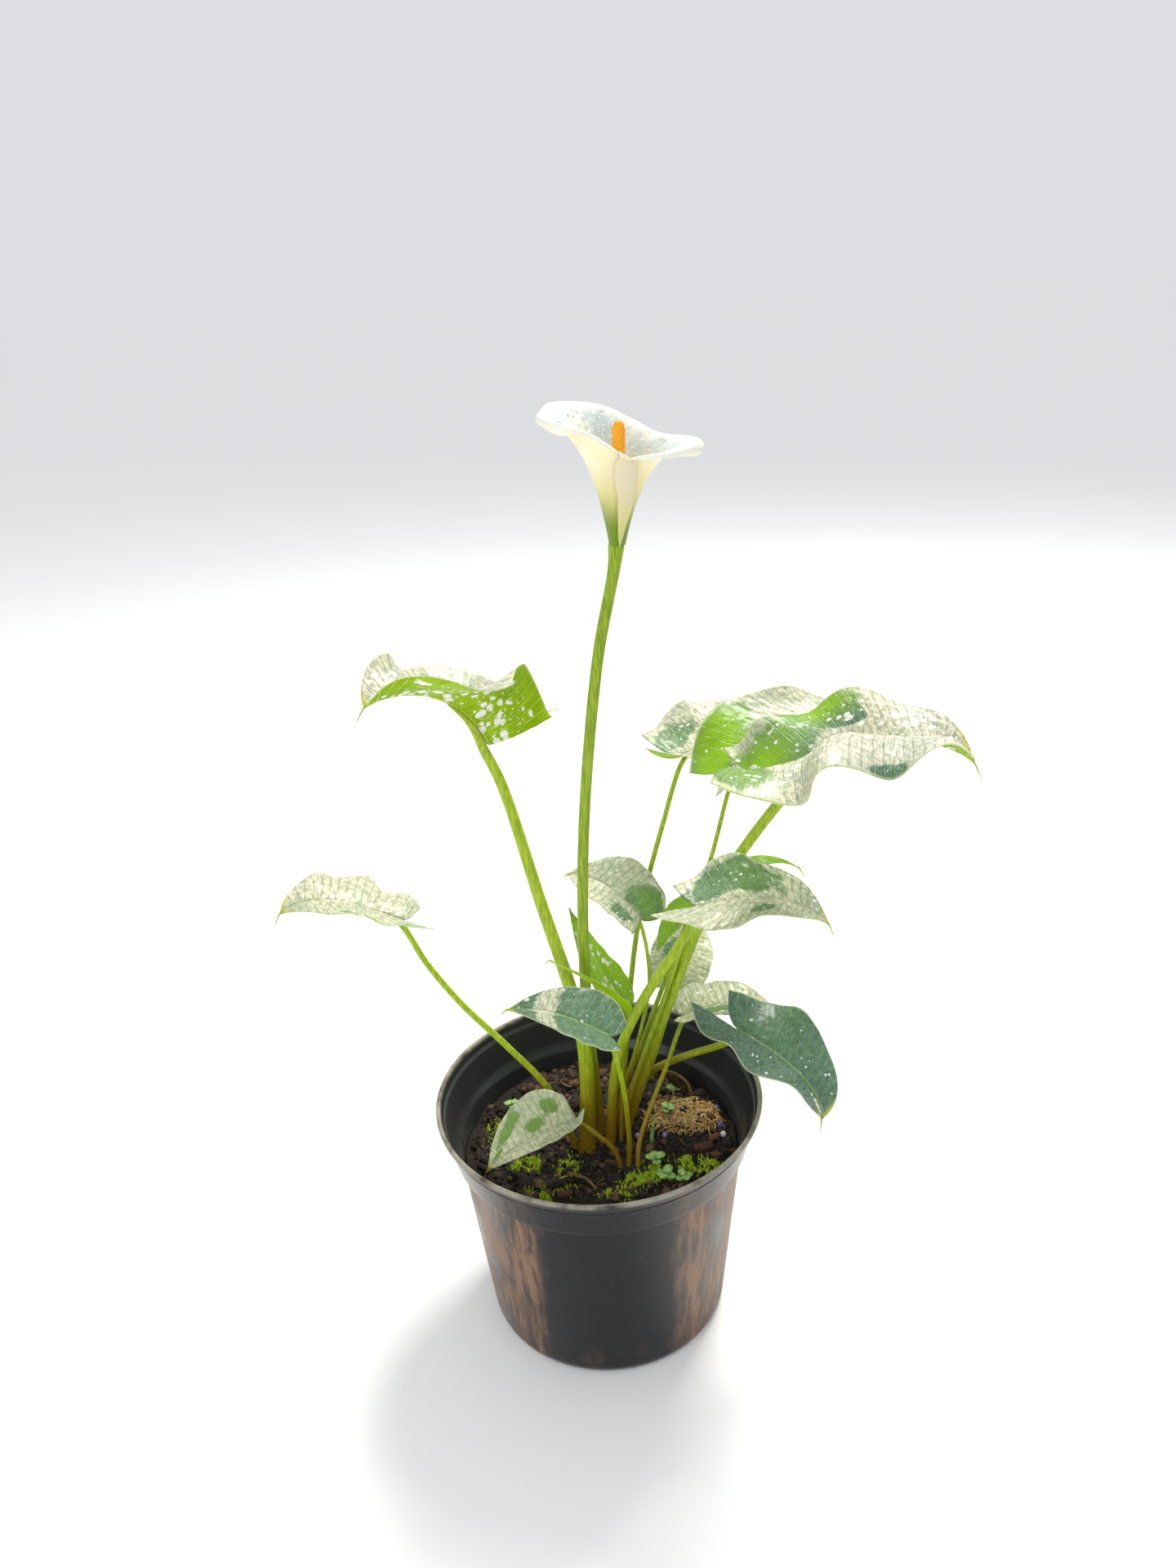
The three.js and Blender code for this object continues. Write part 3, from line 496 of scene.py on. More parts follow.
def add_stalk(shape, path, radius_at, sides, finish=0):
    """Adds a round stalk along a path: a grid rolled up round it, closed at both ends."""
    steps = len(path) - 1
    forwards = [(path[min(i + 1, steps)] - path[max(i - 1, 0)]).normalized() for i in range(steps + 1)]
    across = forwards[0].orthogonal().normalized()
    frames = []
    for forward in forwards:
        across = (across - forward * across.dot(forward)).normalized()
        frames.append((across, forward.cross(across)))

    def place(s, t):
        i = round(s * steps)
        side, up = frames[i]
        turned = pi * t
        return path[i] + (side * cos(turned) + up * sin(turned)) * radius_at(s, turned)

    spots, faces = add_sheet(shape, steps, sides, place, finish)
    verts = [vert for vert, _, _ in spots]
    bmesh.ops.remove_doubles(shape, verts=verts, dist=1e-3)
    faces = [face for face in faces if face.is_valid]
    rims = [edge for edge in {edge for face in faces for edge in face.edges} if edge.is_boundary]
    caps = bmesh.ops.holes_fill(shape, edges=rims)["faces"]
    for cap in caps:
        cap.material_index = finish
    bmesh.ops.recalc_face_normals(shape, faces=faces + caps)


def swelling(s, turned):
    ribbed = 1 + 0.012 * cos(9 * turned + 5 * s)
    under_flower = clamp((s - 0.93) / 0.05) ** 2 * clamp((0.991 - s) / 0.003)
    return lerp(*scape_radius, s) * ribbed * (1 + 0.16 * exp(-s / 0.05) + 0.34 * under_flower)


stem_shape = bmesh.new()
add_stalk(stem_shape, curve_through(rooted(scape_route), 190), swelling, 36)

fleshy_skin = {"Coat Weight": 0.2, "Coat Roughness": 0.3, "Specular IOR Level": 0.35}
stem_finish = Finish("flower_stalk_skin", 0.42, fleshy_skin)
drawn_out = stem_finish.place((1, 1, 0.07))
streaks = stem_finish.clouds(drawn_out, 0.95, 4, 0.6)
long_cells = stem_finish.cells(stem_finish.place((1, 1, 0.16)), 0.62)
flecks = long_cells.step(0.34, 0.2) * stem_finish.clouds(drawn_out, 0.2).step(0.4, 0.6)
green = stem_finish.layered(
    shade(116, 146, 6),
    (streaks.step(0.34, 0.66), shade(164, 188, 28)),
    (flecks * 0.5, shade(78, 108, 14)),
    (stem_finish.height().step(200, 120) * 0.8, shade(160, 112, 28)),
)
stem_finish.wear(Base_Color=green, Normal=stem_finish.bump(streaks, 0.25))
stem_finish.glow(shade(176, 206, 60), 0.12)
add_piece("arum_stem", stem_shape, [stem_finish], "stalk", "flower_stem")

# The white funnel
# The spathe is one fleshy sheet, rolled into a funnel. Its outer edge laps over the inner one in
# front and is folded back on itself in a band that tapers to the foot. The rim rolls outwards, most
# at the tip. It is cream white and green where it closes on the stem. Inside, its blotches are a
# painted bluish shade and its wet places carry painted white glints; its rim is painted lighter and
# its folded band darker, as painted light and shade.

flower_base = Vector((24.4, 5, 464.5))
flower_lean = 0.05
spathe_throat = 4
spathe_thickness = 0.64
spathe_lap = 1.8
mouth_start = -108
mouth_step = 30
mouth = [
    (9, 36), (12, 38), (17, 40), (28, 41), (38, 44), (28, 46), (27, 52),
    (29, 59), (32, 62), (35, 62.5), (32, 57), (18, 51), (13, 45), (12, 39),
]
mouth_turn = radians(mouth_step * (len(mouth) - 1))
lip_from = 0.9
fold_from = 0.93
tip_side = 8
left_side = 200
corner_side = 184


def thicken(shape, faces, thickness):
    """Gives a sheet its thickness and returns the new side, kept close to the sheet where it is folded."""
    sheet_place = shape.verts.layers.float_vector["sheet_place"]
    for vert in {vert for face in faces for vert in face.verts}:
        vert[sheet_place] = vert.co
    new_side = bmesh.ops.solidify(shape, geom=faces, thickness=thickness)["geom"]
    new_faces = [item for item in new_side if isinstance(item, bmesh.types.BMFace)]
    for vert in {vert for face in new_faces for vert in face.verts}:
        offset = vert.co - vert[sheet_place]
        if offset.length > 1.2 * thickness:
            vert.co = vert[sheet_place] + offset.normalized() * thickness
    return new_faces


def mouth_at(turned):
    """Reach and height of the funnel's mouth, between the stations, as a smooth curve."""
    place = clamp(turned) * (len(mouth) - 1)
    i = min(floor(place), len(mouth) - 2)
    share = place - i
    a, b, c, d = (Vector(mouth[clamp(i + k, 0, len(mouth) - 1)]) for k in (-1, 0, 1, 2))
    if i == 0:
        a = b * 2 - c
    if i == len(mouth) - 2:
        d = c * 2 - b
    bend, twist = 2 * a - 5 * b + 4 * c - d, 3 * b - 3 * c + d - a
    return 0.5 * (2 * b + (c - a) * share + bend * share**2 + twist * share**3)


def facing(angle, side, width):
    """1 where the sheet faces a side, in degrees, and nearly 0 from twice the width, in radians."""
    return exp(-(((angle - radians(side)) / width) ** 2))


def petal_wall(s, turned):
    """Radius, height and angle on the sheet, before its outer edge is folded back."""
    reach, height = mouth_at(turned)
    body = min(s / lip_from, 1)
    b0, b1 = Vector((spathe_throat, -2.2)), Vector((spathe_throat + 3, 14))
    b2, b3 = Vector((min(11 + 0.1 * reach, reach), 25 + 0.41 * height)), Vector((reach, height))
    rest = 1 - body
    place = b0 * rest**3 + b1 * 3 * body * rest**2 + b2 * 3 * body**2 * rest + b3 * body**3
    angle = radians(mouth_start) + mouth_turn * turned
    at_tip = facing(angle, tip_side, 0.27)
    at_left = facing(angle, left_side, 0.3)
    place.x += 3 * facing(angle, corner_side, 0.16) * body**6
    if s > lip_from:
        rim = (s - lip_from) / (1 - lip_from)
        along = (b3 - b2).normalized()
        outward = Vector((along.y, -along.x))
        curl = 0.6 + 0.3 * clamp((reach - 14) / 20) + 2.1 * at_tip
        rolled = radians(150 + 110 * at_tip - 60 * at_left) * rim
        place = place + (along * sin(rolled) + outward * (1 - cos(rolled))) * curl
        place += Vector((0.2, -3.6)) * at_left**2 * rim**1.4
    flare = clamp((s - 0.45) / 0.5) ** 2
    ruffle = 0.5 * flare * noise.noise(Vector((turned * 9, s * 2.5, 3)))
    lap_share = clamp((turned - 0.8) / 0.1)
    lap = spathe_lap * lap_share**2 * (3 - 2 * lap_share) * (0.2 + 0.8 * min(body / 0.4, 1))
    at_edge = clamp((turned - 0.78) / 0.2)
    leaning = 0.46 * sin(pi * body) ** 0.8 - 0.2 * (1 - body) ** 2
    angle += leaning * at_edge**2 * (3 - 2 * at_edge)
    return place.x + lap, place.y + ruffle, angle


def funnel(s, t):
    """A place on the sheet, with its outer edge folded back on itself."""
    turned = (t + 1) / 2
    width = 7.8 * clamp((s - 0.02) / 0.5) ** 0.9 * clamp((lip_from - s) / 0.26) ** 0.7
    fold_radius = 0.35 + 0.35 * clamp(s / 0.35) + 1.3 * clamp((s - 0.6) / 0.3) ** 2
    past = clamp((turned - fold_from) / (1 - fold_from)) * (pi * fold_radius + width)
    wrapped = min(past / fold_radius, pi)
    back = max(past - pi * fold_radius, 0)
    radius, height, angle = petal_wall(s, min(turned / fold_from, 1))
    if back:
        radius, height, angle = petal_wall(s, 1 - back / radius / mouth_turn)
    angle += fold_radius * sin(wrapped) / radius
    radius += fold_radius * (1 - cos(wrapped))
    return flower_base + Vector((radius * cos(angle) + flower_lean * height, radius * sin(angle), height))


spathe_shape = bmesh.new()
petal_place = spathe_shape.verts.layers.float_vector.new("petal_place")
spathe_shape.verts.layers.float_vector.new("sheet_place")
spathe_spots, spathe_faces = add_sheet(spathe_shape, 110, 320, funnel)
for vert, s, t in spathe_spots:
    turned = (t + 1) / 2
    vert[petal_place] = (s, turned, clamp((turned - fold_from) / 0.012))
for face in thicken(spathe_shape, spathe_faces, spathe_thickness):
    face.material_index = 1
bmesh.ops.recalc_face_normals(spathe_shape, faces=spathe_shape.faces)


def petal_finish(name, pale, warm, foot, through, wet):
    """Cream petal with fine lines along it, painted glints, light and shade, and a foot of the colour given.
    """
    petal = Finish(name, 0.38, {"Specular IOR Level": 0.35, "Coat Weight": 0.05})
    spot = petal.attribute("petal_place")
    up, _, folded = petal.parts(spot, 0, 1, 2)
    lines = petal.clouds(petal.stretch(spot, (3, 150, 1)), 1.0, 3, 0.55)
    blotch = petal.clouds(petal.place(), 0.06, 4)
    # Painted highlights: white glints in cells where the inside is wet.
    wet_glint_cells = petal.cells(petal.stretch(spot, (34, 80, 1)), 1.0).step(0.34, 0.22)
    glints = wet_glint_cells * blotch.step(0.42, 0.52) * wet
    reach = up + (lines - 0.5) * 0.12 + folded * 0.14
    greened = reach.step(0.42, 0.14)
    # Painted shade and light: the pale blotches (inside, a bluish shade), a lighter rim and a darker folded
    # band.
    white = petal.layered(
        warm,
        (blotch.step(0.4, 0.6), pale),
        ((up + lines * 0.1).step(0.82, 0.95) * 0.8, shade(254, 252, 238)),
        (folded, shade(242, 230, 196)),
        (glints * up.step(0.5, 0.6) * (1 - folded), shade(255, 255, 255)),
        (lines.step(0.45, 0.7) * 0.18, shade(226, 220, 184)),
        (reach.step(0.62, 0.3) * 0.7, shade(226, 218, 120)),
        (greened, foot),
    )
    petal.wear(
        Base_Color=white,
        Roughness=lines * 0.2 + 0.3 - glints * 0.2,
        Normal=petal.bump(lines + glints, 0.3, 0.6),
    )
    petal.glow(through, 0.26 - greened * 0.22)
    return petal


petal_finishes = [
    petal_finish(
        "cream_petal", pale=shade(252, 247, 228), warm=shade(250, 240, 204), foot=shade(112, 142, 8),
        through=shade(255, 244, 196), wet=0,
    ),
    # Inside, the pale colour is a painted bluish shade.
    petal_finish(
        "petal_inside", pale=shade(196, 216, 222), warm=shade(244, 246, 238), foot=shade(196, 200, 120),
        through=shade(240, 244, 240), wet=1,
    ),
]
add_piece("white_funnel", spathe_shape, petal_finishes, "spathe", "spathe")

# The orange rod
# The spadix stands free inside the funnel: a blunt fleshy rod packed with hundreds of tiny beads in
# spiral rows, orange-yellow with pollen dust, on a short pale neck.

spadix_height = 55.5
spadix_radius = 3.1
spadix_foot = 4.3
neck_radii = (1.9, 2.3)
neck_height = 3
swollen_height = 14
crown_height = 5


def rod_radius(height):
    """The rod's radius under its beads."""
    risen = height - spadix_foot
    if risen < neck_height:
        return lerp(*neck_radii, risen / neck_height)
    if risen < swollen_height:
        return lerp(neck_radii[1], spadix_radius, (risen - neck_height) / (swollen_height - neck_height))
    crown = clamp((height - (spadix_height - crown_height)) / crown_height)
    return spadix_radius * sqrt(max(1 - crown**2.4, 0.0))


def beaded(s, turned):
    height = lerp(spadix_foot, spadix_height, s)
    rows = 13 * turned / 2
    beads = abs(cos(rows + height * 1.55) * cos(rows - height * 1.55))
    grown = clamp((height - spadix_foot - 4) / 6) * clamp((spadix_height - height) / 1.2)
    return max(rod_radius(height) - 0.22 + 0.34 * beads * grown, 0.05)


rod_path = [
    flower_base + Vector((flower_lean * h, 0, h))
    for h in (lerp(spadix_foot, spadix_height, i / 240) for i in range(241))
]
rod_shape = bmesh.new()
add_stalk(rod_shape, rod_path, beaded, 104)
rod_finish = Finish("pollen_orange", 0.7)
pollen = rod_finish.clouds(rod_finish.place(), 1.6, 4, 0.7)
orange = rod_finish.layered(
    shade(250, 156, 8),
    (pollen.step(0.35, 0.7), shade(255, 202, 52)),
    (rod_finish.height().step(492, 474), shade(236, 214, 140)),
)
rod_finish.wear(Base_Color=orange, Normal=rod_finish.bump(pollen, 0.3))
rod_finish.glow(shade(255, 190, 40), 0.1)
add_piece("orange_rod", rod_shape, [rod_finish], "spadix", "spadix")

# The leaves
# Fifteen arrow-shaped leaves, each one growth: a round stalk out of the soil that runs on as the
# midrib under a thin blade with waved margins, two back lobes and a tail at the tip. The upper side
# is blue-green under a wax bloom, painted pale cream where sun fell on it and darker as painted shade;
# the underside is bright yellow-green, with white windows in both. Pairs give the half left of the
# midrib and then the right one. young is how yellow-green the upper side is. The shaded patches are
# places in painted shade (along, across, size, and how yellow-green, a painted glow of light coming
# through), and pale lists places with more painted sunlit cream (along, across, size).

leaves = {
    "leaf_tall_left": dict(
        route=[(-8.5, -6, 109), (-7, -5, 185), (-27, 3, 276), (-42, 7, 340), (-47, 8, 362)],
        stalk_radius=(4.7, 2.7),
        length=97, half_width=(37, 33), lobe=(4, 10),
        lobe_spread=0.95, belly=0.59, tip_taper=0.6,
        heading=244, swing=-21, rise=59, bend=-50, droop=-17,
        roll=25, twist=-50,
        fold=(58, 58), opening=(-49, -75), curl=(9, 27),
        wave=(19, 19), waves=(1.1, 1.2), wave_phase=(0.03, 0.26),
        lobe_lift=(1, 11),
        wax_and_sunlight=0.8, young=0.1, flecks=1.0,
        bare=[(0.86, -0.3, 0.16, 0), (0.42, 0.62, 0.16, 0), (0.02, 0.55, 0.12, 0), (0.3, 0.5, 0.14, 0)],
    ),
    "leaf_low_left": dict(
        route=[
            (-15.8, -4.5, 109), (-29, -3, 150), (-51, -2, 181), (-74, 0, 209), (-91, 1, 236), (-103, 2, 265),
        ],
        stalk_radius=(2, 1.7),
        length=67, half_width=(26, 34), lobe=(17, 11),
        lobe_spread=0.55, belly=0.35, tip_taper=0.92,
        heading=184, swing=18, rise=26, bend=8, droop=-68,
        roll=0, twist=13,
        fold=(14, 20), opening=(-10, -3), curl=(18, -44),
        wave=(1.4, 2.6), waves=(2.3, 2.9), wave_phase=(0.07, 0.09),
        lobe_lift=(3, -2),
        wax_and_sunlight=0.9, young=0.15, flecks=0.15, bare=[(0.1, -0.8, 0.12, 0.3), (0.55, -0.75, 0.08, 0)],
    ),
    "leaf_large_right": dict(
        route=[(16.5, 12.5, 109), (32, 14, 156), (43, 15, 191), (73, 18, 264), (111, 20, 325)],
        stalk_radius=(3.2, 3),
        length=105, half_width=(41, 73), lobe=(23, 9),
        lobe_spread=0.95, belly=0.32, tip_taper=0.7,
        heading=-12, swing=-3, rise=41, bend=-46, droop=-35,
        roll=3, twist=-1,
        fold=(58, 56), opening=(-26, -26), curl=(-28, -81),
        wave=(6.3, 13), waves=(2.9, 2.4), wave_phase=(-0.31, 0.26),
        lobe_lift=(9, 9),
        wax_and_sunlight=0.9, young=0.05, flecks=0.7,
        bare=[
            (0.05, -0.55, 0.22, 0.9), (0.4, -0.88, 0.18, 0.8), (0.24, -0.45, 0.07, 0),
            (0.03, 0.75, 0.17, 0.5), (0.6, 0.95, 0.1, 0), (0.3, 0.3, 0.05, 0), (0.14, -0.15, 0.09, 0),
            (0.46, -0.5, 0.09, 0),
        ],
    ),
    "leaf_back_right": dict(
        route=[(5.6, 10.6, 109), (16, 26, 151), (29, 52, 224), (47, 73, 280), (62, 88, 318)],
        stalk_radius=(1.7, 1.5),
        length=76, half_width=(37, 22), lobe=(16, 25),
        lobe_spread=0.54, belly=0.31, tip_taper=1.09,
        heading=22, swing=8, rise=14, bend=-4, droop=-14,
        roll=6, twist=-5,
        fold=(30, 21), opening=(3, 0), curl=(-8, 0),
        wave=(3.5, 3.9), waves=(2.5, 2), wave_phase=(0.28, 0.21),
        lobe_lift=(6, 13),
        wax_and_sunlight=0.75, young=0.1, flecks=0.6, bare=[(0.12, -0.55, 0.22, 0.1), (0.02, 0.7, 0.12, 0.3)],
    ),
    "leaf_broad_back": dict(
        route=[(13, 5, 109), (19, 5, 138), (46, 13, 213), (70, 32, 273), (90, 60, 323)],
        stalk_radius=(1.4, 1.3),
        length=105, half_width=(35, 24), lobe=(23, 26),
        lobe_spread=0.54, belly=0.35, tip_taper=1.08,
        heading=27, swing=-1, rise=32, bend=-51, droop=-7,
        roll=2, twist=21,
        fold=(29, 10), opening=(-12, 0), curl=(25, 4),
        wave=(5.2, 3), waves=(2, 2), wave_phase=(-0.05, 0),
        lobe_lift=(-4, 0),
        wax_and_sunlight=0.8, young=0.1, flecks=0.3,
        bare=[(0.06, -0.55, 0.28, 1), (0.22, -0.8, 0.16, 0.6), (0.5, 0.3, 0.12, 0)],
    ),
    "leaf_front_small": dict(
        route=[(15, -27.2, 109), (16, -31, 132), (13, -41, 183), (7, -48, 217)],
        stalk_radius=(1.5, 1.3),
        length=56, half_width=(19, 22), lobe=(6, 10),
        lobe_spread=0.61, belly=0.3, tip_taper=1.07,
        heading=178, swing=2, rise=35, bend=-24, droop=-15,
        roll=5, twist=2,
        fold=(8, 17), opening=(1, 2), curl=(3, 7),
        wave=(0, 1.6), waves=(1, 1.1), wave_phase=(0, 0.13),
        lobe_lift=(2, -3),
        wax_and_sunlight=0.02, young=0.1, flecks=0.0,
        bare=[], pale=[(0.66, across, 0.11) for across in (-0.8, -0.4, 0, 0.4, 0.8)],
    ),
    "leaf_middle_right": dict(
        route=[(5.5, -2.5, 109), (12, -7, 172), (26, -9, 208), (46, -12, 243), (61, -15, 273)],
        stalk_radius=(2.8, 2.7),
        length=73, half_width=(31, 28), lobe=(13, 27),
        lobe_spread=0.42, belly=0.3, tip_taper=1.07,
        heading=-1, swing=-2, rise=13, bend=-36, droop=-32,
        roll=2, twist=-11,
        fold=(17, 1), opening=(6, 0), curl=(2, 4),
        wave=(3.3, 3.3), waves=(2.3, 2), wave_phase=(0.4, 0.03),
        lobe_lift=(5, 7),
        wax_and_sunlight=0.64, young=0.15, flecks=0.25,
        bare=[(0.42, -0.55, 0.24, 0.1), (0.5, 0.45, 0.1, 0), (0.12, -0.5, 0.18, 0)],
    ),
    "leaf_middle_left": dict(
        route=[(8.6, 5.2, 109), (15, 9, 140), (22, 12, 159), (33, 19, 206), (30, 23, 239), (29, 24, 245)],
        stalk_radius=(1.2, 1.1),
        length=53, half_width=(28, 27), lobe=(4, 9),
        lobe_spread=0.56, belly=0.34, tip_taper=1.06,
        heading=149, swing=0, rise=50, bend=-51, droop=-15,
        roll=5, twist=6,
        fold=(7, 14), opening=(3, 7), curl=(32, -3),
        wave=(0, 3.1), waves=(1.5, 1.7), wave_phase=(0, 0.2),
        lobe_lift=(-2, -3),
        wax_and_sunlight=0.6, young=0.15, flecks=0.2, bare=[(0.12, 0.5, 0.24, 0.2), (0.2, -0.5, 0.16, 0)],
    ),
    "leaf_upright_young": dict(
        route=[(11.2, 11.5, 109), (19, 20, 170), (20, 23, 188)],
        stalk_radius=(1.3, 1.2),
        length=69, half_width=(19, 12), lobe=(4, 5),
        lobe_spread=0.54, belly=0.29, tip_taper=1.11,
        heading=167, swing=-7, rise=57, bend=6, droop=9,
        roll=4, twist=7,
        fold=(12, 14), opening=(-6, -2), curl=(-15, -2),
        wave=(0, 1.8), waves=(1, 1.2), wave_phase=(0, 0.04),
        lobe_lift=(0, -5),
        wax_and_sunlight=0.05, young=1, flecks=0.8, bare=[],
    ),
    "leaf_folded_young": dict(
        route=[(11.8, -2.5, 109), (16, -1, 185), (18, -1, 200)],
        stalk_radius=(1.2, 1.1),
        length=61, half_width=(7, 8), lobe=(10, 10),
        lobe_spread=0.59, belly=0.3, tip_taper=1.1,
        heading=201, swing=-4, rise=56, bend=-21, droop=1,
        roll=-7, twist=4,
        fold=(31, -8), opening=(0, 2), curl=(2, 4),
        wave=(0.6, 0), waves=(1, 1), wave_phase=(-0.02, 0),
        lobe_lift=(-9, 1),
        wax_and_sunlight=0.05, young=1, flecks=0.3, bare=[],
    ),
    "leaf_over_soil": dict(
        route=[(10.5, -24, 109), (7, -25, 122), (0, -26, 132), (-14, -27, 147)],
        stalk_radius=(1.5, 1.3),
        length=56, half_width=(10, 27), lobe=(4, 4),
        lobe_spread=0.51, belly=0.3, tip_taper=0.96,
        heading=204, swing=3, rise=-1, bend=-23, droop=-3,
        roll=-2, twist=15,
        fold=(6, 13), opening=(-6, 2), curl=(-1, 5),
        wave=(0, 1.9), waves=(1, 1.1), wave_phase=(0, 0.14),
        lobe_lift=(9, -10),
        wax_and_sunlight=0.5, young=0.4, flecks=0.1,
        bare=[
            (0.4, 0.25, 0.1, 0.2), (0.7, 0.6, 0.1, 0.2), (0.2, 0.6, 0.09, 0.2), (0.55, 0.75, 0.07, 0.2),
            (0.85, 0.3, 0.07, 0.2),
        ],
    ),
    "leaf_drooping_right": dict(
        route=[(23.5, 33, 109), (32, 26, 136), (51, 18, 152), (74, 9, 166), (84, 4, 178)],
        stalk_radius=(2.3, 2.1),
        length=72, half_width=(31, 26), lobe=(18, 30),
        lobe_spread=0.47, belly=0.33, tip_taper=0.81,
        heading=-36, swing=2, rise=-13, bend=-25, droop=-58,
        roll=5, twist=-11,
        fold=(23, 8), opening=(14, 8), curl=(-5, -6),
        wave=(4.6, 4.7), waves=(2.2, 2.5), wave_phase=(0.22, -0.51),
        lobe_lift=(6, 9),
        wax_and_sunlight=0.03, young=0.05, flecks=0.0, bare=[], pale=[(0.86, 0.3, 0.09)],
    ),
    "leaf_behind_drooping": dict(
        route=[(20.3, -26.2, 109), (22, -18, 120), (32, -3, 139), (40, 8, 151), (54, 27, 176)],
        stalk_radius=(1.5, 1.3),
        length=65, half_width=(23, 14), lobe=(6, 7),
        lobe_spread=0.51, belly=0.27, tip_taper=1.09,
        heading=6, swing=-6, rise=20, bend=-49, droop=-22,
        roll=1, twist=1,
        fold=(13, 7), opening=(0, 0), curl=(-3, 5),
        wave=(2.4, 1), waves=(1.7, 1.5), wave_phase=(0.16, 0.01),
        lobe_lift=(-4, 3),
        wax_and_sunlight=0.6, young=0.2, flecks=0.5, bare=[(0.3, 0.4, 0.2, 0.2)],
    ),
    "leaf_at_back_rim": dict(
        route=[(12, 19, 109), (30, 39, 141), (49, 61, 176)],
        stalk_radius=(1.4, 1.2),
        length=59, half_width=(18, 23), lobe=(5, 9),
        lobe_spread=0.61, belly=0.32, tip_taper=1.14,
        heading=64, swing=-2, rise=53, bend=-34, droop=-10,
        roll=-7, twist=-22,
        fold=(16, 5), opening=(0, -13), curl=(6, 12),
        wave=(1.2, 3.5), waves=(1, 1.1), wave_phase=(0.01, -0.1),
        lobe_lift=(0, 0),
        wax_and_sunlight=0.55, young=0.15, flecks=0.4, bare=[(0.3, -0.2, 0.2, 0)],
    ),
    "leaf_behind_middle": dict(
        route=[(7.8, 16.4, 109), (27, 25, 157), (43, 32, 197), (60, 40, 240)],
        stalk_radius=(1.5, 1.4),
        length=78, half_width=(17, 14), lobe=(33, 20),
        lobe_spread=0.37, belly=0.26, tip_taper=1.08,
        heading=21, swing=-6, rise=42, bend=-50, droop=-33,
        roll=5, twist=-6,
        fold=(10, 20), opening=(3, 0), curl=(-7, 4),
        wave=(3.2, 1), waves=(1.1, 1), wave_phase=(0.19, 0),
        lobe_lift=(-7, 0),
        wax_and_sunlight=0.2, young=0.8, flecks=0.2, bare=[],
    ),
}
tip_half_width = 0.6
vein_reach = 0.12
blade_thickness = 0.6
rib_steps = 60
rib_end = 0.45
rib_tip_radius = 0.55
rib_drop = 1.35
vein_spacing = 3.9
swelling_height = 0.3
crumple_height = 0.42
gutter_depth = 0.2
gutter_width = 1.5
frill_height = 0.7
full_relief_length = 80
stalk_step = 2.4
tail_share = 0.065


def length_of(points):
    return sum((Vector(b) - Vector(a)).length for a, b in zip(points, points[1:]))


def relief_share(leaf):
    """How much of the full relief a leaf has: small leaves are smoother."""
    return min(1, leaf["length"] / full_relief_length)


def midrib(leaf):
    """The midrib's places, each with its forward, side and above directions."""
    at = Vector(leaf["route"][-1])
    places = []
    for i in range(rib_steps + 1):
        u = i / rib_steps
        slope = radians(leaf["rise"] + leaf["bend"] * u + leaf["droop"] * u**3)
        azimuth = radians(leaf["heading"] + leaf["swing"] * u)
        forward = Vector((cos(slope) * cos(azimuth), cos(slope) * sin(azimuth), sin(slope)))
        side = Vector((sin(azimuth), -cos(azimuth), 0))
        side = Matrix.Rotation(-radians(leaf["roll"] + leaf["twist"] * u), 3, forward) @ side
        above = side.cross(forward)
        if places:
            at = at + (places[-1][1] + forward) * 0.5 * leaf["length"] / rib_steps
        places.append((at, forward, side, above))
    return places


def along_rib(rib, u):
    place = clamp(u) * rib_steps
    i = min(floor(place), rib_steps - 1)
    return [a.lerp(b, place - i) for a, b in zip(rib[i], rib[i + 1])]


def flat_place(leaf, half, s, t):
    """Where a point of the flat blade lies: along from the stalk, and out from the midrib."""
    out = abs(t)
    near_stalk = exp(-s / vein_reach)
    lobe = leaf["lobe"][half]
    edge = -lobe + (leaf["length"] + lobe) * s
    along = lerp(s * leaf["length"], edge, out ** (1 - 0.4 * near_stalk))
    belly = leaf["belly"]
    if s < belly:
        width = lerp(leaf["lobe_spread"], 1, sin(pi / 2 * s / belly))
    else:
        width = cos(pi / 2 * clamp((s - belly) / (1 - belly))) ** leaf["tip_taper"]
    half_width = max(leaf["half_width"][half] * width, tip_half_width)
    return along, half_width * out ** (1 + 0.45 * near_stalk)


def vein_relief(leaf, s, t, across):
    """The blade's own relief: a gutter over the midrib, sunk side veins and swellings between them."""
    count = leaf["length"] / vein_spacing
    row = s * count + 0.35 * (t > 0) + 0.25 * sin(5 * abs(t) + 9 * s)
    from_vein = abs(row - round(row)) * 2
    strength = relief_share(leaf) * clamp((1 - s) / 0.12) * clamp((1 - abs(t)) / 0.12)
    swelling_up = swelling_height * (from_vein**0.8 - 0.45) * clamp(abs(t) / 0.16) * strength
    blisters = noise.fractal(Vector((s * leaf["length"] / 5, t * 7, leaf["length"])), 0.8, 2.1, 3)
    crumple = crumple_height * blisters * clamp(abs(t) / 0.15)
    gutter = -gutter_depth * exp(-((across / gutter_width) ** 2)) * clamp((1 - s) / 0.2)
    return swelling_up + crumple * strength + gutter


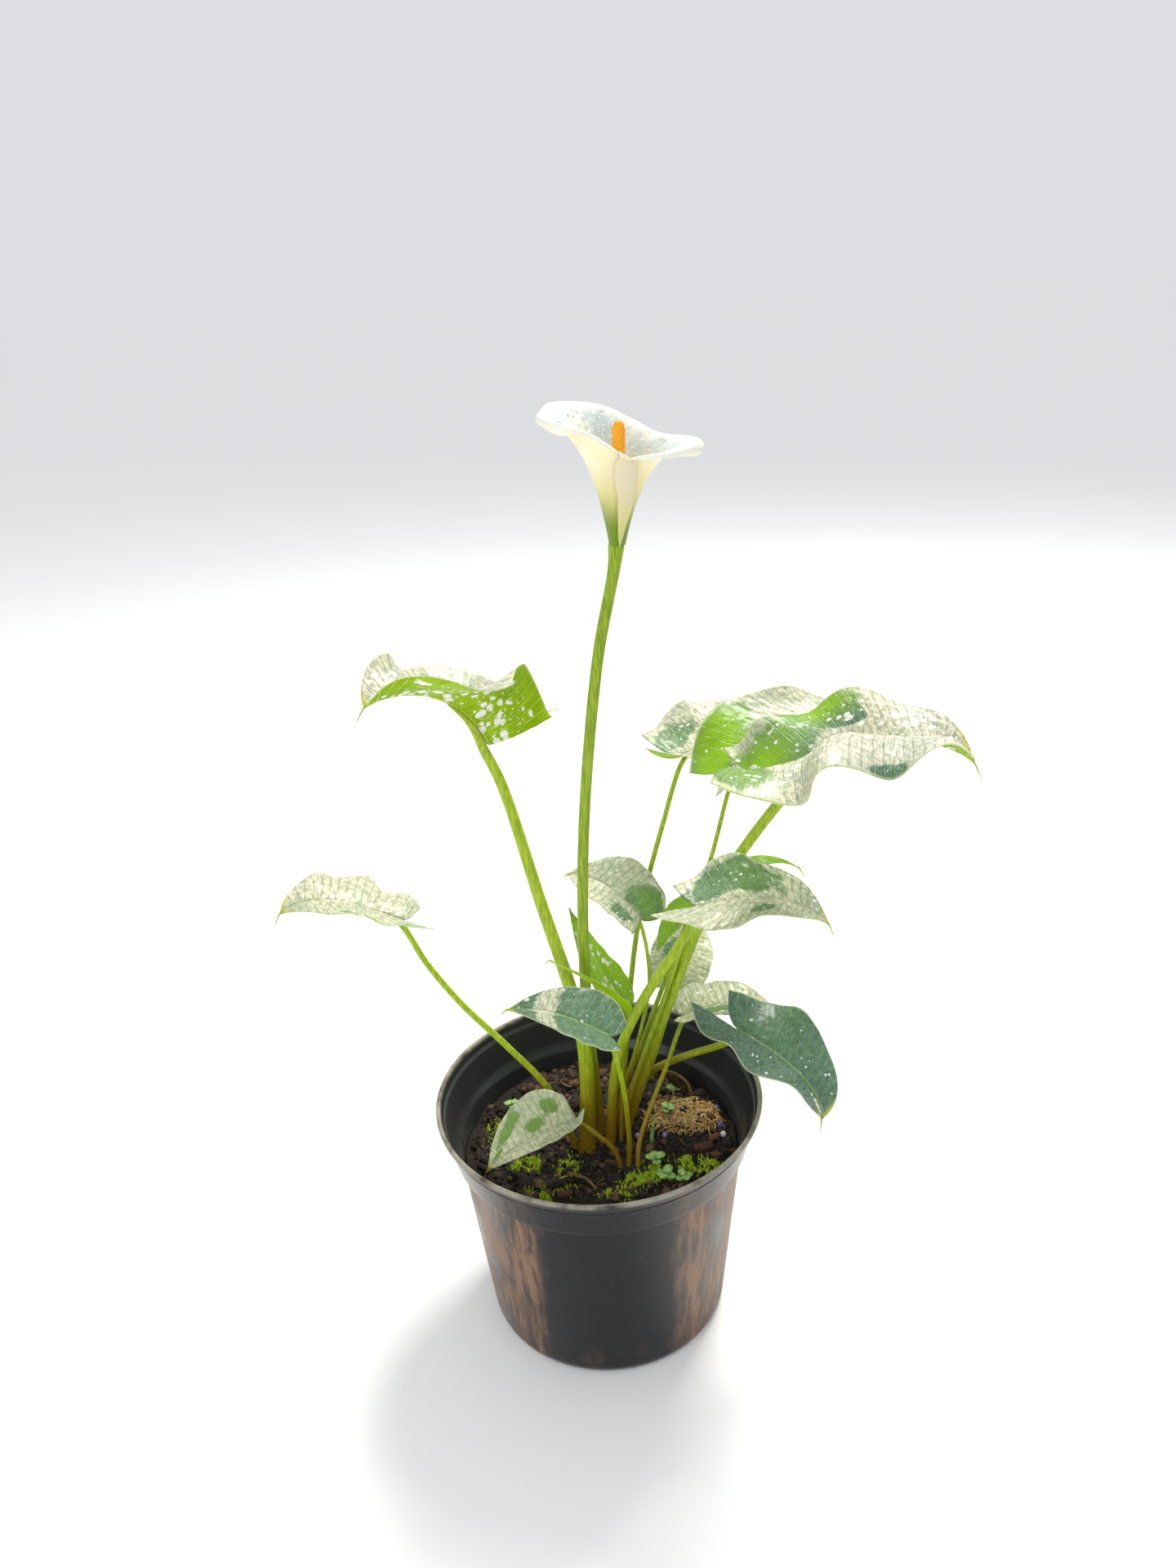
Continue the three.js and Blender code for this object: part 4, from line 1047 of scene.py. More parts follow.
def blade_point(leaf, rib, s, t):
    """A place on the blade in space: folded at the midrib, bowed across and waved along the margin."""
    half = 1 if t >= 0 else 0
    along, across = flat_place(leaf, half, s, t)
    u = along / leaf["length"]
    at, forward, side, above = along_rib(rib, u)
    behind = min(along, 0)
    lift = leaf["lobe_lift"][half] * (behind / leaf["lobe"][half]) ** 2
    fold = radians(leaf["fold"][half] + leaf["opening"][half] * clamp(u))
    share = across / leaf["half_width"][half]
    bow = radians(leaf["curl"][half]) * share / 2
    chord = sin(bow) / bow if abs(bow) > 1e-6 else 1
    turned = fold + 2 * bow
    wave_turns = leaf["waves"][half] * s + leaf["wave_phase"][half]
    ripple = leaf["wave"][half] * share**1.5 * sin(2 * pi * wave_turns)
    frill = frill_height * share**3 * sin(2 * pi * (5.3 * s + 0.4 * half))
    ripple += frill * relief_share(leaf) * clamp((1 - s) / 0.3) + vein_relief(leaf, s, t, across)
    outward = across * chord * cos(fold + bow) - ripple * sin(turned)
    upward = across * chord * sin(fold + bow) + ripple * cos(turned)
    sign = 1 if half else -1
    return at + forward * behind + above * (lift + upward) + side * (sign * outward)


def stalk_path(leaf, rib, steps):
    """The stalk's line out of the soil and on under the blade, as the midrib."""
    points = rooted(leaf["route"])[:-1]
    for u in (0, 0.12, 0.28, rib_end):
        at, _, _, above = along_rib(rib, u)
        points.append(at - above * rib_drop * lerp(leaf["stalk_radius"][1], rib_tip_radius, u / rib_end))
    return curve_through(points, steps)


def nearness(s, t, along, across, size):
    """1 at a place on the blade, and nearly 0 from twice the size away."""
    return exp(-(((s - along) ** 2 + ((t - across) * 0.55) ** 2) / size**2))


def grow_leaf(name, leaf):
    rib = midrib(leaf)
    shape = bmesh.new()
    vectors = shape.verts.layers.float_vector
    leaf_flat, leaf_place, leaf_kind, _ = (
        vectors.new(layer) for layer in ("leaf_flat", "leaf_place", "leaf_kind", "sheet_place")
    )
    rows = ceil(leaf["length"] * 1.15)
    columns = 2 * ceil(max(leaf["half_width"]) * 0.72)
    spots, faces = add_sheet(shape, rows, columns, lambda s, t: blade_point(leaf, rib, s, t))
    seed = 10 * sum(leaf["half_width"]) + leaf["length"]
    for vert, s, t in spots:
        along, across = flat_place(leaf, 1 if t >= 0 else 0, s, t)
        # Painted sun and shade: patches lose sunlit cream, pale places gain it; green paints light let
        # through.
        shaded = sum(nearness(s, t, p, q, size) for p, q, size, _ in leaf["bare"])
        extra_sunlit = sum(nearness(s, t, *spot) for spot in leaf.get("pale", ()))
        greened = sum(green * nearness(s, t, p, q, size * 0.8) for p, q, size, green in leaf["bare"])
        vert[leaf_flat] = (along, across if t >= 0 else -across, seed)
        vert[leaf_place] = (s, abs(t), leaf["wax_and_sunlight"] * (1 - clamp(shaded)) + 0.7 * extra_sunlit)
        vein_row = s * leaf["length"] / vein_spacing + 0.35 * (t > 0)
        vert[leaf_kind] = (clamp(leaf["young"] + greened), leaf["flecks"], vein_row)
    for face in thicken(shape, faces, blade_thickness):
        face.material_index = 1
    bmesh.ops.recalc_face_normals(shape, faces=shape.faces)
    steps = ceil(length_of(leaf["route"]) / stalk_step) + ceil(leaf["length"] * rib_end / stalk_step)
    path = stalk_path(leaf, rib, steps)
    share = 1 - rib_end * leaf["length"] / length_of(path)

    def radius_at(s, turned):
        if s < share:
            radius = lerp(*leaf["stalk_radius"], s / share)
        else:
            radius = lerp(leaf["stalk_radius"][1], rib_tip_radius, (s - share) / (1 - share))
        sheath = 1 + 0.22 * exp(-s / 0.07)
        return radius * sheath * (1 + 0.02 * cos(7 * turned))

    add_stalk(shape, path, radius_at, 20, 2)
    tip, forward, _, _ = rib[-1]
    tail_end = tip + (forward + Vector((0, 0, -0.9))) * (leaf["length"] * tail_share)
    tail_path = curve_through([tip - forward * 2, tip, tail_end], 12)
    add_stalk(shape, tail_path, lambda s, turned: lerp(0.62, 0.18, s), 8, 2)
    words = name.split("_")[1:]
    add_piece("_".join(words + ["leaf"]), shape, leaf_finishes, "leaf", name)


def leaf_pattern(finish):
    """What both sides of a blade share: its flat place, veins, white windows and pale margin."""
    flat = finish.attribute("leaf_flat")
    s, out, wax_and_sunlight = finish.parts(finish.attribute("leaf_place"), 0, 1, 2)
    young, flecks, row = finish.parts(finish.attribute("leaf_kind"), 0, 1, 2)
    side, seed = finish.parts(flat, 1, 2)
    wobble = finish.clouds(flat, 0.09, 2)
    side_vein = (row + (out * 5).maths("SINE") * 0.12 + wobble * 0.35).maths("PINGPONG", 0.5)
    veins = side_vein.step(0.11, 0.02)
    fine_vein = (row * 3 + wobble * 1.1).maths("PINGPONG", 0.5).step(0.14, 0.0)
    rib = (side * side).step(1.6, 0.2)
    windows = finish.cells(finish.stretch(flat, (0.8, 1, 1)), 0.2)
    pinholes = finish.cells(finish.stretch(flat, (0.9, 1, 1)), 0.52)
    patches = finish.clouds(flat, 0.05, 2).step(0.3, 0.5)
    ragged_edge = finish.clouds(flat, 0.5, 2) * 0.3 - 0.13
    spread = flecks * patches * (1 - out.step(0.72, 0.98))
    spots = (spread * (0.42 + ragged_edge) - windows).step(0.005, 0.04)
    spots = spots + (spread * (0.25 + ragged_edge) - pinholes).step(0.005, 0.05) * 0.8
    half = side.step(-1, 1) * 7 + seed
    along_veins = finish.node("ShaderNodeCombineXYZ", None, {0: row * 0.42, 1: out * 2.2, 2: half})
    stained = finish.clouds(along_veins, 1.0, 4, 0.62)
    margin = out.step(0.965, 0.995)
    return flat, s, out, wax_and_sunlight, young, veins.maths("MAXIMUM", rib), fine_vein, spots, stained, margin


waxy_skin = {"Coat Weight": 0.3, "Coat Roughness": 0.2, "Specular IOR Level": 0.4}
upper = Finish("leaf_upper_side", 0.36, waxy_skin)
flat, s, out, wax_and_sunlight, young, veins, fine_vein, spots, stained, margin = leaf_pattern(upper)
blister = upper.clouds(upper.stretch(flat, (1.2, 0.7, 1)), 0.42, 4, 0.62)
washed = upper.clouds(flat, 0.035, 3)
# Painted sun and shade: cream wax where sun fell on it, and a blue-green darkened as shade elsewhere.
waxed_and_sunlit = (wax_and_sunlight + (stained - 0.5) * (wax_and_sunlight * 0.9 + 0.55) + (blister - 0.5) * 0.15).step(0.24, 0.42)
deep = upper.layered(
    shade(46, 82, 80),
    (blister.step(0.3, 0.7), shade(88, 122, 114)),
    (young * 0.95, shade(146, 190, 8)),
    (veins * (young * 0.4 + 0.25), shade(176, 206, 104)),
)
# The painted sunlit cream of the wax.
sunlit_wax_colour = upper.layered(
    shade(166, 172, 148),
    (blister.step(0.34, 0.66), shade(236, 228, 202)),
    (washed.step(0.42, 0.62) * 0.45, shade(152, 168, 152)),
    (young * 0.4, shade(186, 206, 96)),
    (veins * 0.25, shade(160, 166, 120)),
)
top = upper.layered(
    deep,
    (waxed_and_sunlit, sunlit_wax_colour),
    (fine_vein * 0.06, shade(150, 166, 120)),
    ((s + out * 0.08).step(0.95, 1.0) * 0.8, shade(196, 192, 62)),
    (margin * 0.6, shade(224, 230, 176)),
    (spots * 0.9, shade(246, 247, 232)),
)
upper.wear(
    Base_Color=top,
    Roughness=waxed_and_sunlit * 0.16 + blister * 0.14 + 0.2,
    Normal=upper.bump(blister - veins * 0.4 - fine_vein * 0.12, 1.1),
)
upper.glow(shade(208, 240, 6), (young * 0.4 + (1 - waxed_and_sunlit) * 0.06) * (1 - spots * 0.9))

under = Finish("leaf_underside", 0.46, {"Specular IOR Level": 0.25})
*_, young, veins, fine_vein, spots, stained, margin = leaf_pattern(under)
below = under.layered(
    shade(140, 190, 4),
    (stained.step(0.35, 0.68), shade(186, 226, 16)),
    (young * 0.5, shade(186, 226, 20)),
    (veins, shade(236, 248, 110)),
    (fine_vein * 0.5, shade(196, 226, 48)),
    (margin * 0.6, shade(220, 232, 150)),
    (spots * 0.97, shade(252, 252, 238)),
)
under.wear(
    Base_Color=below,
    Normal=under.bump(veins * 0.8 + fine_vein * 0.35 + stained * 0.3, 0.8),
)
under.glow(shade(228, 255, 8), 0.52 - spots * 0.46 - veins * 0.2)

stalk_skin = Finish("leaf_stalk_skin", 0.4, fleshy_skin)
skin_streaks = stalk_skin.clouds(stalk_skin.place((1, 1, 0.09)), 0.9, 4, 0.6)
skin = stalk_skin.layered(
    shade(138, 166, 12),
    (skin_streaks.step(0.34, 0.66), shade(184, 206, 40)),
    ((stalk_skin.height() + skin_streaks * 30).step(205, 130) * 0.85, shade(158, 108, 26)),
)
stalk_skin.wear(Base_Color=skin, Normal=stalk_skin.bump(skin_streaks, 0.22))
stalk_skin.glow(shade(190, 220, 50), 0.14)

leaf_finishes = [upper, under, stalk_skin]
for name, leaf in leaves.items():
    grow_leaf(name, leaf)

# Rain drops
# Rain has left drops on the waxy upper sides and on the far inner wall of the funnel: flattened
# drops of water, about one to three millimetres across, that stay where they landed. Their near-white,
# half-clear colour is a painted glint.

chance = random.Random(7)


def lay_many(shape, items, lay, batch=40):
    """Lays many small shapes, each batch in a bmesh of its own, which is far quicker than all in one."""
    for start in range(0, len(items), batch):
        part = bmesh.new()
        for item in items[start:start + batch]:
            lay(part, item)
        scrap = bpy.data.meshes.new("scrap")
        part.to_mesh(scrap)
        part.free()
        shape.from_mesh(scrap)
        bpy.data.meshes.remove(scrap)


def lay_drop(shape, drop):
    spot, normal, size = drop
    facing_out = normal.to_track_quat("Z", "Y").to_matrix().to_4x4()
    drawn = Matrix.Diagonal((size * chance.uniform(0.8, 1.5), size, size * 0.6, 1))
    lying = Matrix.Translation(spot) @ facing_out @ drawn
    bmesh.ops.create_icosphere(shape, subdivisions=2, radius=0.5, matrix=lying)


def normal_of(surface, s, t):
    ahead, aside = surface(s + 0.01, t) - surface(s, t), surface(s, t + 0.01) - surface(s, t)
    return aside.cross(ahead).normalized()


drops = []
wet_leaves = dict(
    leaf_large_right=130, leaf_back_right=60, leaf_broad_back=60, leaf_middle_right=60, leaf_middle_left=30,
    leaf_drooping_right=30, leaf_tall_left=26, leaf_front_small=12,
)
funnel_drops = 90
for name, count in wet_leaves.items():
    leaf = leaves[name]
    rib = midrib(leaf)

    def surface(s, t):
        return blade_point(leaf, rib, s, t)

    for _ in range(count):
        s, t = chance.uniform(0.02, 0.9), chance.uniform(-0.92, 0.92)
        size = chance.choice((0.7, 0.9, 1.2, 1.2, 1.6, 2.1))
        drops.append((surface(s, t), normal_of(surface, s, t), size))
for _ in range(funnel_drops):
    s, t = chance.uniform(0.6, 0.88), chance.uniform(-0.35, 0.5)
    inward = -normal_of(funnel, s, t)
    size = chance.choice((0.8, 1.0, 1.3, 1.7, 2.2))
    drops.append((funnel(s, t) + inward * spathe_thickness, inward, size))
drop_shape = bmesh.new()
lay_many(drop_shape, drops, lay_drop)
# Painted glint: the drops are near white and only partly clear.
clear = {"Alpha": 0.7, "Specular IOR Level": 0.9, "Coat Weight": 1.0, "Coat Roughness": 0.03}
water = Finish("rain_water", 0.05, clear)
ripple = water.clouds(water.place(), 1.1, 2)
water.wear(
    Base_Color=water.blend(ripple, shade(244, 248, 248), shade(255, 255, 255)),
    Normal=water.bump(ripple, 0.05),
)
add_piece("rain_drops", drop_shape, [water], None)

# Crumbs and bark fines
# What peat leaves on top: crumbs, clods and fibres, some 2,400 in all, pressed into the surface. They
# are part of the soil, and are laid as one piece.

crumb_count = 1700
clod_count = 300
fibre_count = 420
clod_distance = 7


def inside_pot(x, y, margin=3):
    return hypot(x, y) < soil_edge - margin


def scattered(count):
    """Places all over the soil, clear of the wall."""
    spots = []
    while len(spots) < count:
        x, y = (chance.uniform(-soil_edge, soil_edge) for _ in range(2))
        if inside_pot(x, y):
            spots.append((x, y))
    return spots


def on_ground(x, y, lift):
    """Moves a shape to a place on the crumbly surface, lift millimetres up."""
    return Matrix.Translation((x, y, ground(x, y) + lift))


def bent_line(x, y, length, heading, bend, stations):
    """Places along a short line through (x, y), seen from above, which turns as it goes."""
    return [
        (x + length * k * cos(heading + k * bend), y + length * k * sin(heading + k * bend)) for k in stations
    ]


def turned_any_way():
    axis = Vector([chance.uniform(-1, 1) for _ in range(3)])
    return Matrix.Rotation(chance.uniform(0, pi), 4, axis.normalized())


# Clods keep clear of the beads, chips, seedlings and dead leaves that lie here.
laid_out = [
    (-28, 28), (-31, 22), (-6, 33), (-60, -17), (22, 3), (38, -1), (71, 18), (72, 5), (67, -3), (60, -12),
    (-40, 30), (-22, -45), (-55, 29), (46, 34), (41, 16), (30, -26), (35, -36), (45, -40), (-19, -62),
    (6, -66),
]


def tint(shape, made, tone):
    for face in {face for vert in made["verts"] for face in vert.link_faces}:
        face.material_index = tone


def lay_crumb(shape, place):
    x, y = place
    size = chance.choice((0.5, 0.7, 0.9, 1.2, 1.8)) * chance.uniform(0.7, 1.3)
    squash = Matrix.Diagonal((size * chance.uniform(0.8, 1.9), size, size * chance.uniform(0.5, 0.9), 1))
    lying = on_ground(x, y, size * 0.25) @ turned_any_way() @ squash
    crumb = bmesh.ops.create_icosphere(shape, subdivisions=1, radius=1, matrix=lying)
    tint(shape, crumb, chance.choice((0, 0, 0, 1, 1, 2)))


def lay_clod(shape, place):
    x, y = place
    if min(hypot(x - a, y - b) for a, b in laid_out) < clod_distance:
        return
    wide = chance.uniform(1.4, 3.6)
    flat = chance.choice((0.2, 0.3, 0.7))
    squash = Matrix.Diagonal((wide * chance.uniform(1, 1.9), wide, wide * flat, 1))
    spot = on_ground(x, y, wide * flat * 0.3)
    heading, slope = chance.uniform(0, 2 * pi), chance.uniform(-0.6, 0.6)
    tilt = Matrix.Rotation(heading, 4, "Z") @ Matrix.Rotation(slope, 4, "X")
    clod = bmesh.ops.create_icosphere(shape, subdivisions=2, radius=1, matrix=spot @ tilt @ squash)
    for vert in clod["verts"]:
        vert.co += (vert.co - spot.translation) * 0.5 * noise.noise(vert.co / 1.7)
    tint(shape, clod, 2 if flat < 0.5 and chance.random() < 0.5 else chance.choice((0, 0, 1)))


def lay_fibre(shape, place):
    x, y = place
    length = chance.uniform(3, 10)
    heading = chance.uniform(0, 2 * pi)
    ends = bent_line(x, y, length, heading, 0.5, (-0.5, 0, 0.5))
    if all(inside_pot(a, b) for a, b in ends):
        points = [(a, b, ground(a, b) + 0.35 + 0.5 * chance.random()) for a, b in ends]
        path = curve_through(points, 5)
        add_stalk(shape, path, lambda s, turned: 0.22 * (1.1 - s), 4, chance.choice((1, 2, 3)))


crumb_shape = bmesh.new()
lay_many(crumb_shape, scattered(crumb_count), lay_crumb)
lay_many(crumb_shape, scattered(clod_count), lay_clod)
lay_many(crumb_shape, scattered(fibre_count), lay_fibre)


def crumb_finish(name, dark, pale):
    """A dull finish in two tones, for litter and moss."""
    finish = Finish(name, 0.92)
    grain = finish.clouds(finish.place(), 1.4, 4, 0.7)
    finish.wear(Base_Color=finish.blend(grain.step(0.3, 0.7), dark, pale), Normal=finish.bump(grain, 0.4))
    return finish


crumb_finishes = [
    crumb_finish("wet_peat", shade(18, 14, 12), shade(46, 36, 28)),
    crumb_finish("dry_peat", shade(42, 32, 24), shade(84, 65, 48)),
    crumb_finish("bark_fines", shade(64, 42, 30), shade(122, 88, 60)),
    crumb_finish("straw_fibres", shade(142, 112, 70), shade(190, 160, 108)),
]
add_piece("soil_crumbs", crumb_shape, crumb_finishes, "soil")

# Moss
# Green moss creeps over the damp soil in low cushions of tiny upright shoots; to the right of the
# stems lies a clump of bog moss, dried to straw colour in long soft strands.

moss_patches = [
    (34, -30, 19, 9), (50, -26, 15, 8), (20, -38, 12, 6), (-56, -2, 10, 15), (-44, -18, 13, 7),
    (-62, 14, 7, 9), (-20, -26, 7, 15), (-30, 34, 12, 5), (8, -46, 10, 5), (-36, -44, 12, 6),
    (62, -30, 8, 7),
]
moss_density = 5.5
moss_scatter = 0.42
bog_x, bog_y = 50, 16
bog_strands = 1150


def lay_tuft(shape, place):
    x, y = place
    if not inside_pot(x, y) or noise.noise(Vector((x, y, 4)) / 4) < -0.12:
        return
    tall = chance.uniform(1.2, 3.2)
    back, aside = (Matrix.Rotation(chance.uniform(-0.5, 0.5), 4, axis) for axis in "XY")
    spot = on_ground(x, y, tall * 0.4) @ (back @ aside)
    wide = 0.6 * chance.uniform(0.7, 1.4)
    tuft = bmesh.ops.create_cone(
        shape, cap_ends=True, segments=5, radius1=wide, radius2=0.12, depth=tall, matrix=spot
    )
    tint(shape, tuft, chance.choice((0, 0, 1)))


moss_shape = bmesh.new()
for px, py, wide, deep in moss_patches:
    spots = [
        (px + chance.gauss(0, moss_scatter) * wide, py + chance.gauss(0, moss_scatter) * deep)
        for _ in range(int(wide * deep * moss_density))
    ]
    lay_many(moss_shape, spots, lay_tuft)
moss_finishes = [
    crumb_finish("green_moss", shade(112, 150, 8), shade(192, 220, 40)),
    crumb_finish("yellow_moss", shade(186, 204, 20), shade(232, 238, 80)),
]
add_piece("green_moss", moss_shape, moss_finishes, "soil")

def strand_radius(s, turned):
    return 0.62 * (0.65 + 0.35 * cos(22 * s))


def lay_strand(shape, place):
    x, y = place
    outside = not inside_pot(x, y, 6) or hypot((x - bog_x) / 26, (y - bog_y) / 18) > 1
    if outside or noise.noise(Vector((x, y, 9)) / 5) < -0.25:
        return
    heading, length = chance.uniform(0, 2 * pi), chance.uniform(3, 8)
    arch = chance.uniform(0.3, 3.4)
    stations = (-0.5, -0.2, 0.2, 0.5)
    line = bent_line(x, y, length, heading, 1, stations)
    points = [(a, b, ground(a, b) + 0.3 + arch * (1 - 4 * k * k)) for k, (a, b) in zip(stations, line)]
    add_stalk(shape, curve_through(points, 6), strand_radius, 4, chance.choice((0, 0, 1)))


bog_shape = bmesh.new()
spots = [(bog_x + chance.gauss(0, 12), bog_y + chance.gauss(0, 9)) for _ in range(bog_strands)]
lay_many(bog_shape, spots, lay_strand)
bog_finishes = [
    crumb_finish("bog_moss", shade(184, 146, 84), shade(232, 204, 146)),
    crumb_finish("rusty_bog_moss", shade(140, 94, 50), shade(196, 148, 92)),
]
add_piece("bog_moss", bog_shape, bog_finishes, "soil")

# Feed beads
# Slow release plant food: resin-coated beads, blue, violet and white, a few millimetres across and
# dented where they have dried. They lie about a third sunk in the soil. The last number of each is
# its coat.

bead_radius = 1.9
bead_lift = 0.35
beads = [
    (-28, 28, 0), (-31, 22, 2), (-6, 33, 2), (-60, -17, 1), (22, 3, 1), (38, -1, 1), (71, 20, 0), (72, 7, 0),
    (73, 0, 2),
]
bead_coats = {
    "blue_coat": (shade(52, 66, 140), shade(96, 112, 190)),
    "violet_coat": (shade(104, 84, 150), shade(158, 140, 196)),
    "white_coat": (shade(196, 198, 210), shade(232, 232, 236)),
}
bead_finishes = []
for name, (dark, pale) in bead_coats.items():
    coat = Finish(name, 0.3, {"Coat Weight": 0.4, "Coat Roughness": 0.15})
    dust = coat.clouds(coat.place(), 0.9, 4, 0.65)
    coat.wear(Base_Color=coat.blend(dust.step(0.35, 0.65), dark, pale), Normal=coat.bump(dust, 0.2))
    bead_finishes.append(coat)
for i, (x, y, coat_number) in enumerate(beads):
    bead_shape = bmesh.new()
    spot = Matrix.Translation((x, y, soil_height(x, y) + bead_lift * bead_radius))
    bmesh.ops.create_icosphere(bead_shape, subdivisions=4, radius=bead_radius, matrix=spot)
    for vert in bead_shape.verts:
        vert.co += (vert.co - spot.translation) * 0.07 * noise.noise(vert.co / 1.3)
    bead_look = [bead_finishes[coat_number]]
    add_piece(f"coated_bead_{i + 1}", bead_shape, bead_look, "feed_bead", f"feed_bead_{i + 1}")

# Bark chips
# Five red-brown chips of composted bark, split along the grain in thin layers and broken at the ends.

chips = [
    dict(at=(67, -3), size=(5.5, 2.6, 1.6), heading=40),
    dict(at=(60, -12), size=(7, 3.2, 1.8), heading=10),
    dict(at=(66, 12), size=(4, 3, 1.5), heading=75),
    dict(at=(-40, 30), size=(6, 2.6, 1.6), heading=120),
    dict(at=(-22, -45), size=(5, 3, 1.4), heading=20),
]
bark = Finish("composted_bark", 0.85)
along_grain = bark.stretch(bark.attribute("bark_grain"), (0.35, 2.2, 4.5))
grain = bark.clouds(along_grain, 0.6, 4, 0.65)
bark.wear(
    Base_Color=bark.blend(grain.step(0.3, 0.7), shade(50, 28, 22), shade(116, 74, 54)),
    Normal=bark.bump(grain, 0.8),
)
for i, chip in enumerate(chips):
    x, y = chip["at"]
    chip_shape = bmesh.new()
    bark_grain = chip_shape.verts.layers.float_vector.new("bark_grain")
    bmesh.ops.create_icosphere(chip_shape, subdivisions=4, radius=1)
    for vert in chip_shape.verts:
        co = vert.co.copy()
        blunt = Vector([abs(v) ** 0.55 * (1 if v > 0 else -1) for v in co])
        layered = 0.09 * noise.noise(Vector((co.x * 1.5, co.y * 3 + i, co.z * 9)))
        broken = 0.12 * noise.noise(Vector((co.x, co.y * 6, co.z * 5 + i * 3)))
        vert.co = Vector((
            blunt.x * chip["size"][0] * (0.84 + broken),
            blunt.y * chip["size"][1] * (0.82 + layered),
            blunt.z * chip["size"][2] * (0.8 + layered),
        ))
        vert[bark_grain] = vert.co
    lying = (
        Matrix.Translation((x, y, soil_height(x, y) + 0.4 * chip["size"][2]))
        @ Matrix.Rotation(radians(chip["heading"]), 4, "Z")
        @ Matrix.Rotation(0.25, 4, "X")
    )
    bmesh.ops.transform(chip_shape, matrix=lying, verts=chip_shape.verts)
    add_piece(f"split_bark_{i + 1}", chip_shape, [bark], "bark", f"bark_chip_{i + 1}")

# Seedlings
# Six weed seedlings: a hair-thin stem with two pairs of round, notched leaves set crosswise.

seedlings = [
    dict(at=(-55, 29), height=7, leaf=2.4, heading=20),
    dict(at=(46, 34), height=9, leaf=2.7, heading=75),
    dict(at=(41, 16), height=6, leaf=2.6, heading=140),
    dict(at=(30, -26), height=7, leaf=3.2, heading=10),
    dict(at=(35, -36), height=5, leaf=3.4, heading=60),
    dict(at=(45, -40), height=5, leaf=2.8, heading=110),
]
seed_leaf = Finish("seedling_green", 0.5)
seed_spot = seed_leaf.place()
tender = seed_leaf.clouds(seed_spot, 0.5, 3)
seed_leaf.wear(
    Base_Color=seed_leaf.blend(tender.step(0.35, 0.65), shade(126, 174, 84), shade(192, 222, 142)),
    Normal=seed_leaf.bump(seed_leaf.clouds(seed_spot, 1.6), 0.25),
)
seed_leaf.glow(shade(160, 220, 90), 0.25)
for i, seedling in enumerate(seedlings):
    x, y = seedling["at"]
    foot = soil_height(x, y)
    top = Vector((x + 0.6, y - 0.4, foot + seedling["height"]))
    seedling_shape = bmesh.new()
    seedling_shape.verts.layers.float_vector.new("sheet_place")
    stem = curve_through([(x, y, foot - 4), (x, y, foot), top], 14)
    add_stalk(seedling_shape, stem, lambda s, turned: 0.5, 8)
    for k in range(4):
        size = seedling["leaf"]
        lying = (
            Matrix.Translation((top.x, top.y, top.z - 0.4 - 1.6 * (k % 2)))
            @ Matrix.Rotation(radians(seedling["heading"] + 90 * k), 4, "Z")
            @ Matrix.Rotation(-0.25, 4, "Y")
        )

        def round_leaf(s, t):
            """A leaf drawn from its own stem outwards, cupped, with a notch at the tip."""
            wide = size * 0.82 * sqrt(max(1 - (2 * s - 1) ** 2, 0.0)) * (1 if s > 0.15 else 0.55 + 3 * s)
            notch = -0.22 * size * exp(-((t / 0.25) ** 2)) * clamp((s - 0.7) / 0.3)
            x_out = size * 1.95 * s + notch
            cupped = 0.35 * t * t * size * 0.3 - 0.5 * s * s + 0.12 * size * s
            return lying @ Vector((x_out, wide * t, cupped))

        _, pad = add_sheet(seedling_shape, 14, 12, round_leaf)
        thicken(seedling_shape, pad, 0.5)
    add_piece(f"weed_seedling_{i + 1}", seedling_shape, [seed_leaf], "seedling", f"seedling_{i + 1}")

# Dead leaves and sticks
# Old arum leaves and stalks that have dried on the soil: two curled brown scraps in front, a bent
# brown stalk at the back, a bark twig, and one new green shoot just out of the ground.

